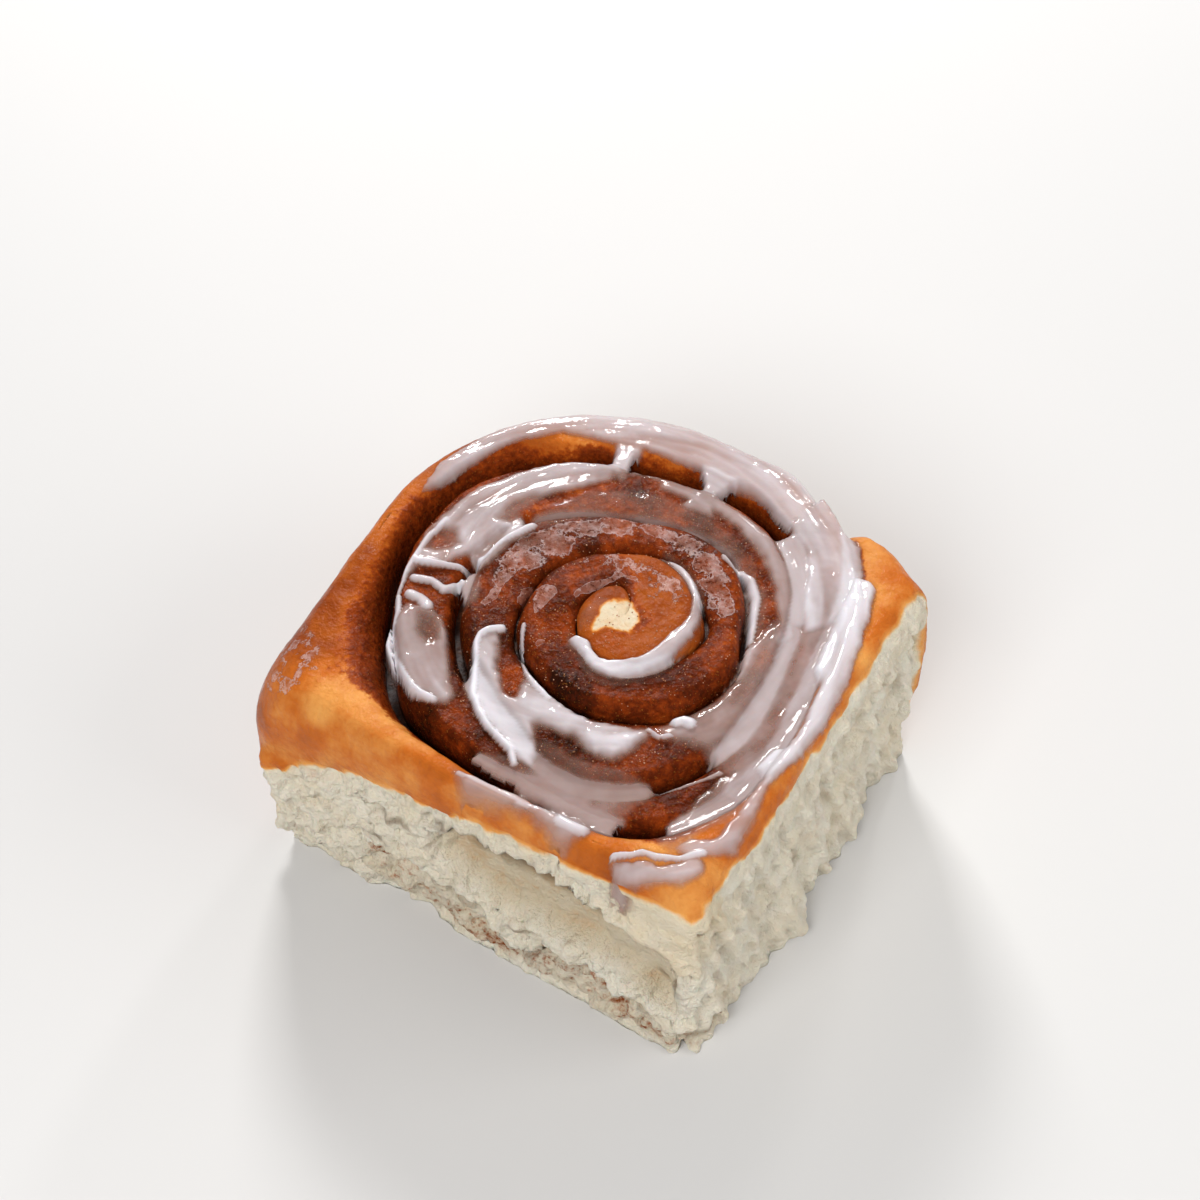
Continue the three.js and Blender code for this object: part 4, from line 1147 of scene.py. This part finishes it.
def pooled(name, x, y, wobble):
    """Thickness of a piece's pools, and how far they fill the grooves below them."""
    amount, fill = np.full(x.shape, -FAR), np.zeros(x.shape)
    for thickness, edge, crisp, filling, outline in POOLS[name]:
        depth = blurred(depth_inside(x, y, outline), 2) + wobble * (1 + 0.8 * (1 - crisp))
        amount = np.maximum(amount, rounded(depth, edge, thickness, crisp))
        fill = np.maximum(fill, filling * smooth(-0.4 * edge * (1 - crisp), 0.8 * edge, depth))
    return amount, fill


def threaded(x, y, wobble, amount):
    """Thickness with the threads laid on, and how far each cell lies on a thread."""
    rim = np.zeros(x.shape)
    for half, thickness, points in THREADS:
        depth = half - nearest_side(x, y, np.array(points, float)) + 0.35 * wobble
        extra = rounded(depth, half, thickness)
        rim = np.maximum(rim, smooth(0, 0.4 * thickness, extra))
        laid = np.where((extra > 0) & (amount > 0), 0.5 * amount + extra, extra)
        amount = np.maximum(amount, laid)
    return amount, rim


def build_icing(pieces):
    """Both pieces of icing, as coats over the heights of the dough."""
    line = np.arange(-ICING_REACH, ICING_REACH, ICING_CELL)
    x, y = np.meshgrid(line, line, indexing="ij")
    flat = np.stack([x, y, 0 * x], -1)
    wobble = WOBBLE * rough(flat, 4, seed=91, layers=3) + FINE_WOBBLE * noise(flat, 0.9, seed=92)
    heights = ray_heights(pieces, x, y)
    from_outline = depth_inside(x, y, PLAN_OUTLINE)
    narrow = closed(heights, NARROW_REACH)
    bridged = np.where(from_outline < RIM_BAND, narrow, closed(heights, BRIDGE_REACH))
    lower_edge = DRIP_EDGE + DRIP_RAGGED * rough(flat, 9, seed=96, layers=3)
    dripped = np.where(from_outline < DRIP_BAND, DRIP_SLOPE * (bridged - lower_edge), FAR)
    level = blurred(closed(heights, LEVEL_REACH), LEVEL_BLUR)
    bare = open_places(x, y, rough(flat, 4, seed=98, layers=3))
    open_gap = bare & (blurred(narrow < level - OPEN_DEPTH, OPEN_BLUR) > OPEN_LEVEL)
    pit = blurred(heights < bridged - PIT_DEPTH, PIT_BLUR) > OPEN_LEVEL
    heights = np.maximum(heights, bridged - GAP_SINK)
    lowest = spread(heights, 1, np.min)
    inland = spread(bridged, 1, np.min) > SHOULDER_FLOOR
    tail_tip = (np.hypot(x - TAIL_TIP[0], y - TAIL_TIP[1]) < TAIL_BARE) & (from_outline < TAIL_RIM)
    thickness = thinned_share(x, y, wobble) * (1 + STREAKED * streaks(x, y))
    made = []
    for name in POOLS:
        amount, fill = pooled(name, x, y, wobble)
        amount = np.where(amount > 0, amount * thickness, amount)
        is_coat = name == "icing_coat"
        unfilled = pit & (fill < FILLED_FROM) & is_coat
        amount = np.where(open_gap | unfilled, np.minimum(amount, -1), amount)
        amount = np.where(tail_tip, -1, np.minimum(amount, dripped))
        amount, rim = threaded(x, y, wobble, amount) if is_coat else (amount, 0)
        mask = (amount > MASK_LEVEL) & (bridged > CROWN_FLOOR) & inland
        amount = amount + GRAIN * noise(flat, 2.2, seed=95) * smooth(0, 0.3, amount)
        risen = np.minimum(np.maximum(level - bridged, 0), FILL_DEPTH) * fill
        filled = np.where(pit, fill >= FILLED_FROM, smooth(0, 0.5, fill))
        base = blurred(mix(heights, bridged + risen, filled), 1)
        base = np.maximum(base, np.where(open_gap, bridged, heights))
        top = base + np.maximum(amount, -0.2) + np.minimum(amount, 0)
        top = np.where(amount < 0.02, np.minimum(top, lowest - 0.2), top)
        cover = np.maximum(top - np.maximum(heights, base - THICK_MOST), 0)
        thick = cover * smooth(0, 0.12, amount) + THREAD_THICK * rim
        made.append(icing_piece(name, x, y, top, np.minimum(bridged, top), thick, mask))
    return made


def icing_piece(name, x, y, top, under, thick, mask):
    """Closed shell over the masked cells: top, bottom under the dough, joined along the edge."""
    cells = mask[:-1, :-1] & mask[1:, :-1] & mask[1:, 1:] & mask[:-1, 1:]
    used = np.zeros_like(mask)
    count = np.zeros(mask.shape, int)
    for di, dj in np.ndindex(2, 2):
        view = (slice(di, mask.shape[0] - 1 + di), slice(dj, mask.shape[1] - 1 + dj))
        used[view] |= cells
        count[view] += cells
    inner = used & (count == 4)
    upper = np.full(mask.shape, -1)
    upper[used] = np.arange(used.sum())
    lower = upper.copy()
    lower[inner] = used.sum() + np.arange(inner.sum())
    edge_height = np.where(inner, top, np.minimum(top, under) - SHELL_LAP)
    points = np.concatenate([np.stack([x[used], y[used], edge_height[used]], -1),
                             np.stack([x[inner], y[inner], under[inner] - SHELL_DEPTH], -1)])
    i, j = np.nonzero(cells)
    corners = [(i, j), (i + 1, j), (i + 1, j + 1), (i, j + 1)]
    faces = np.stack([upper[c] for c in corners], -1).tolist()
    faces += np.stack([lower[c] for c in reversed(corners)], -1).tolist()
    return mesh_piece(name, points, faces, {"thick": np.concatenate([thick[used], thick[inner]])})


# Colours of the icing from a clear film to its thickest, that thickness, and how fast it turns opaque
ICING_COLOURS = ((0.0, (156, 112, 92)), (0.2, (174, 144, 134)), (0.42, (196, 181, 181)),
                 (0.65, (212, 205, 209)), (1.0, (226, 223, 229)))
ICING_FULL, ICING_CLOUD, SEEN_FROM = 2.5, -1.25, 0.03


def icing_material():
    shader = Shader("icing")
    fine, coarse = shader.noise(1.6, 3), shader.noise(7, 3)
    depth = shader.sway(shader.attribute("thick"), coarse, 0.25)
    colour = shader.ramp(shader.math("DIVIDE", depth, ICING_FULL), *ICING_COLOURS)
    see = shader.math("SUBTRACT", 1.0, shader.math("EXPONENT", shader.math("MULTIPLY", depth, ICING_CLOUD)))
    shader.put(shader.surface.inputs["Alpha"], shader.math("MAXIMUM", see, SEEN_FROM))
    normal = shader.bump(shader.noise(2.6, 2), 0.14, shader.bump(fine, 0.05))
    return shader.finish(colour, shader.sway(0.07, coarse, 0.04), normal, Subsurface_Weight=0.1,
                         Subsurface_Scale=FLESH_DEPTH, Specular_IOR_Level=0.4)


# Beads of syrup that glint on the coils: how many, over what round place, and their sizes
BEAD_COUNT, BEAD_REACH, BEAD_SIZE = 2400, 37, (0.1, 0.24)
BEAD_MIDDLE, BEAD_FLAT, BEAD_LIFT = (-1, -3), np.array([1, 1, 0.7]), 0.2


def build_beads(pieces):
    draw = np.random.default_rng(21)
    turned = draw.uniform(0, 2 * np.pi, BEAD_COUNT)
    far = BEAD_REACH * np.sqrt(draw.uniform(0.02, 1, BEAD_COUNT))
    x, y = far * np.cos(turned) + BEAD_MIDDLE[0], far * np.sin(turned) + BEAD_MIDDLE[1]
    size = draw.uniform(*BEAD_SIZE, BEAD_COUNT) ** 1.2
    heights = ray_heights(pieces, x, y)
    crowded = noise(np.stack([x, y, 0 * x], -1), 5, seed=97) > draw.uniform(-0.9, 0.5, BEAD_COUNT)
    ball = bmesh.new()
    bmesh.ops.create_icosphere(ball, subdivisions=1, radius=1)
    ball_points = np.array([v.co for v in ball.verts])
    ball_faces = np.array([[v.index for v in f.verts] for f in ball.faces])
    ball.free()
    points, faces = [], []
    for i in np.nonzero(crowded & (heights > CROWN_FLOOR))[0]:
        faces += (ball_faces + len(points) * len(ball_points)).tolist()
        middle = np.array([x[i], y[i], heights[i] + BEAD_LIFT * size[i]])
        points.append(ball_points * size[i] * BEAD_FLAT + middle)
    return mesh_piece("syrup_beads", np.concatenate(points), faces)


def beads_material():
    shader = Shader("syrup")
    colour = shader.ramp(shader.noise(3, 2), (0.3, (136, 74, 40)), (0.7, (196, 150, 120)))
    roughness = shader.sway(0.08, shader.noise(1), 0.05)
    return shader.finish(colour, roughness, shader.bump(shader.noise(0.5), 0.02), Specular_IOR_Level=0.7)


def set_camera():
    """Camera where the photo's camera stood, aimed past the roll so that it sits low in the frame."""
    azimuth, elevation = math.radians(VIEW_AZIMUTH), math.radians(VIEW_ELEVATION)
    back = Vector((math.sin(azimuth) * math.cos(elevation), -math.cos(azimuth) * math.cos(elevation),
                   math.sin(elevation)))
    across = Vector((math.cos(azimuth), math.sin(azimuth), 0))
    target = Vector(VIEW_TARGET) - Vector((*PLAN_MIDDLE, 0))
    place = target + back * VIEW_DISTANCE
    aim = target + back.cross(across) * VIEW_RAISE
    camera = bpy.data.objects.new("camera", bpy.data.cameras.new("camera"))
    camera.location = place * MM
    camera.rotation_mode = "QUATERNION"
    camera.rotation_quaternion = (aim - place).to_track_quat("-Z", "Y")
    camera.data.lens = VIEW_LENS
    camera.data.sensor_width = SENSOR_WIDTH
    bpy.context.scene.collection.objects.link(camera)
    bpy.context.scene.camera = camera
    bpy.context.scene.view_settings.view_transform = "Standard"


# Soft studio light: lamps by place in metres, size, power and whether they glint, the key from the back left
LAMPS = [("key", (-0.42, 0.5, 0.5), 0.18, 5.0, True), ("front", (0.05, -0.55, 0.6), 0.4, 5.0, False),
         ("right", (0.6, 0.15, 0.4), 0.5, 2.4, False), ("glint", (-0.1, 0.7, 0.42), 0.08, 1.0, True)]
ROOM_COLOUR, ROOM_LIGHT = (1, 1, 1, 1), 0.2
FLOOR_SIZE, FLOOR_COLOUR, FLOOR_ROUGHNESS = 4, (0.62, 0.61, 0.6, 1), 0.8


def add_lights():
    world = bpy.data.worlds.new("world")
    world.use_nodes = True
    sky = world.node_tree.nodes["Background"]
    sky.inputs["Color"].default_value = ROOM_COLOUR
    sky.inputs["Strength"].default_value = ROOM_LIGHT
    bpy.context.scene.world = world
    for name, spot, size, power, glints in LAMPS:
        lamp = bpy.data.lights.new(name, "AREA")
        lamp.energy = power
        lamp.size = size
        light = bpy.data.objects.new(name, lamp)
        light.location = spot
        light.visible_glossy = glints
        light.rotation_mode = "QUATERNION"
        light.rotation_quaternion = (-Vector(spot)).to_track_quat("-Z", "Y")
        bpy.context.scene.collection.objects.link(light)


def add_floor():
    bpy.ops.mesh.primitive_plane_add(size=FLOOR_SIZE)
    floor = bpy.context.object
    floor.name = "floor"
    look = bpy.data.materials.new("floor")
    look.use_nodes = True
    surface = look.node_tree.nodes["Principled BSDF"]
    surface.inputs["Base Color"].default_value = FLOOR_COLOUR
    surface.inputs["Roughness"].default_value = FLOOR_ROUGHNESS
    floor.data.materials.append(look)


dough_pieces = [build_coils(), build_wrap()]
dough_look = dough_material()
for piece in dough_pieces:
    piece.data.materials.append(dough_look)
    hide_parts("dough")
filling = build_filling()
filling.data.materials.append(filling_material())
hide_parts("cinnamon_filling")
icing_look = icing_material()
for piece in build_icing(dough_pieces):
    piece.data.materials.append(icing_look)
    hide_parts(*ICING_NODES[piece.name])

beads = build_beads(dough_pieces)
beads.data.materials.append(beads_material())

set_camera()
add_lights()
add_floor()
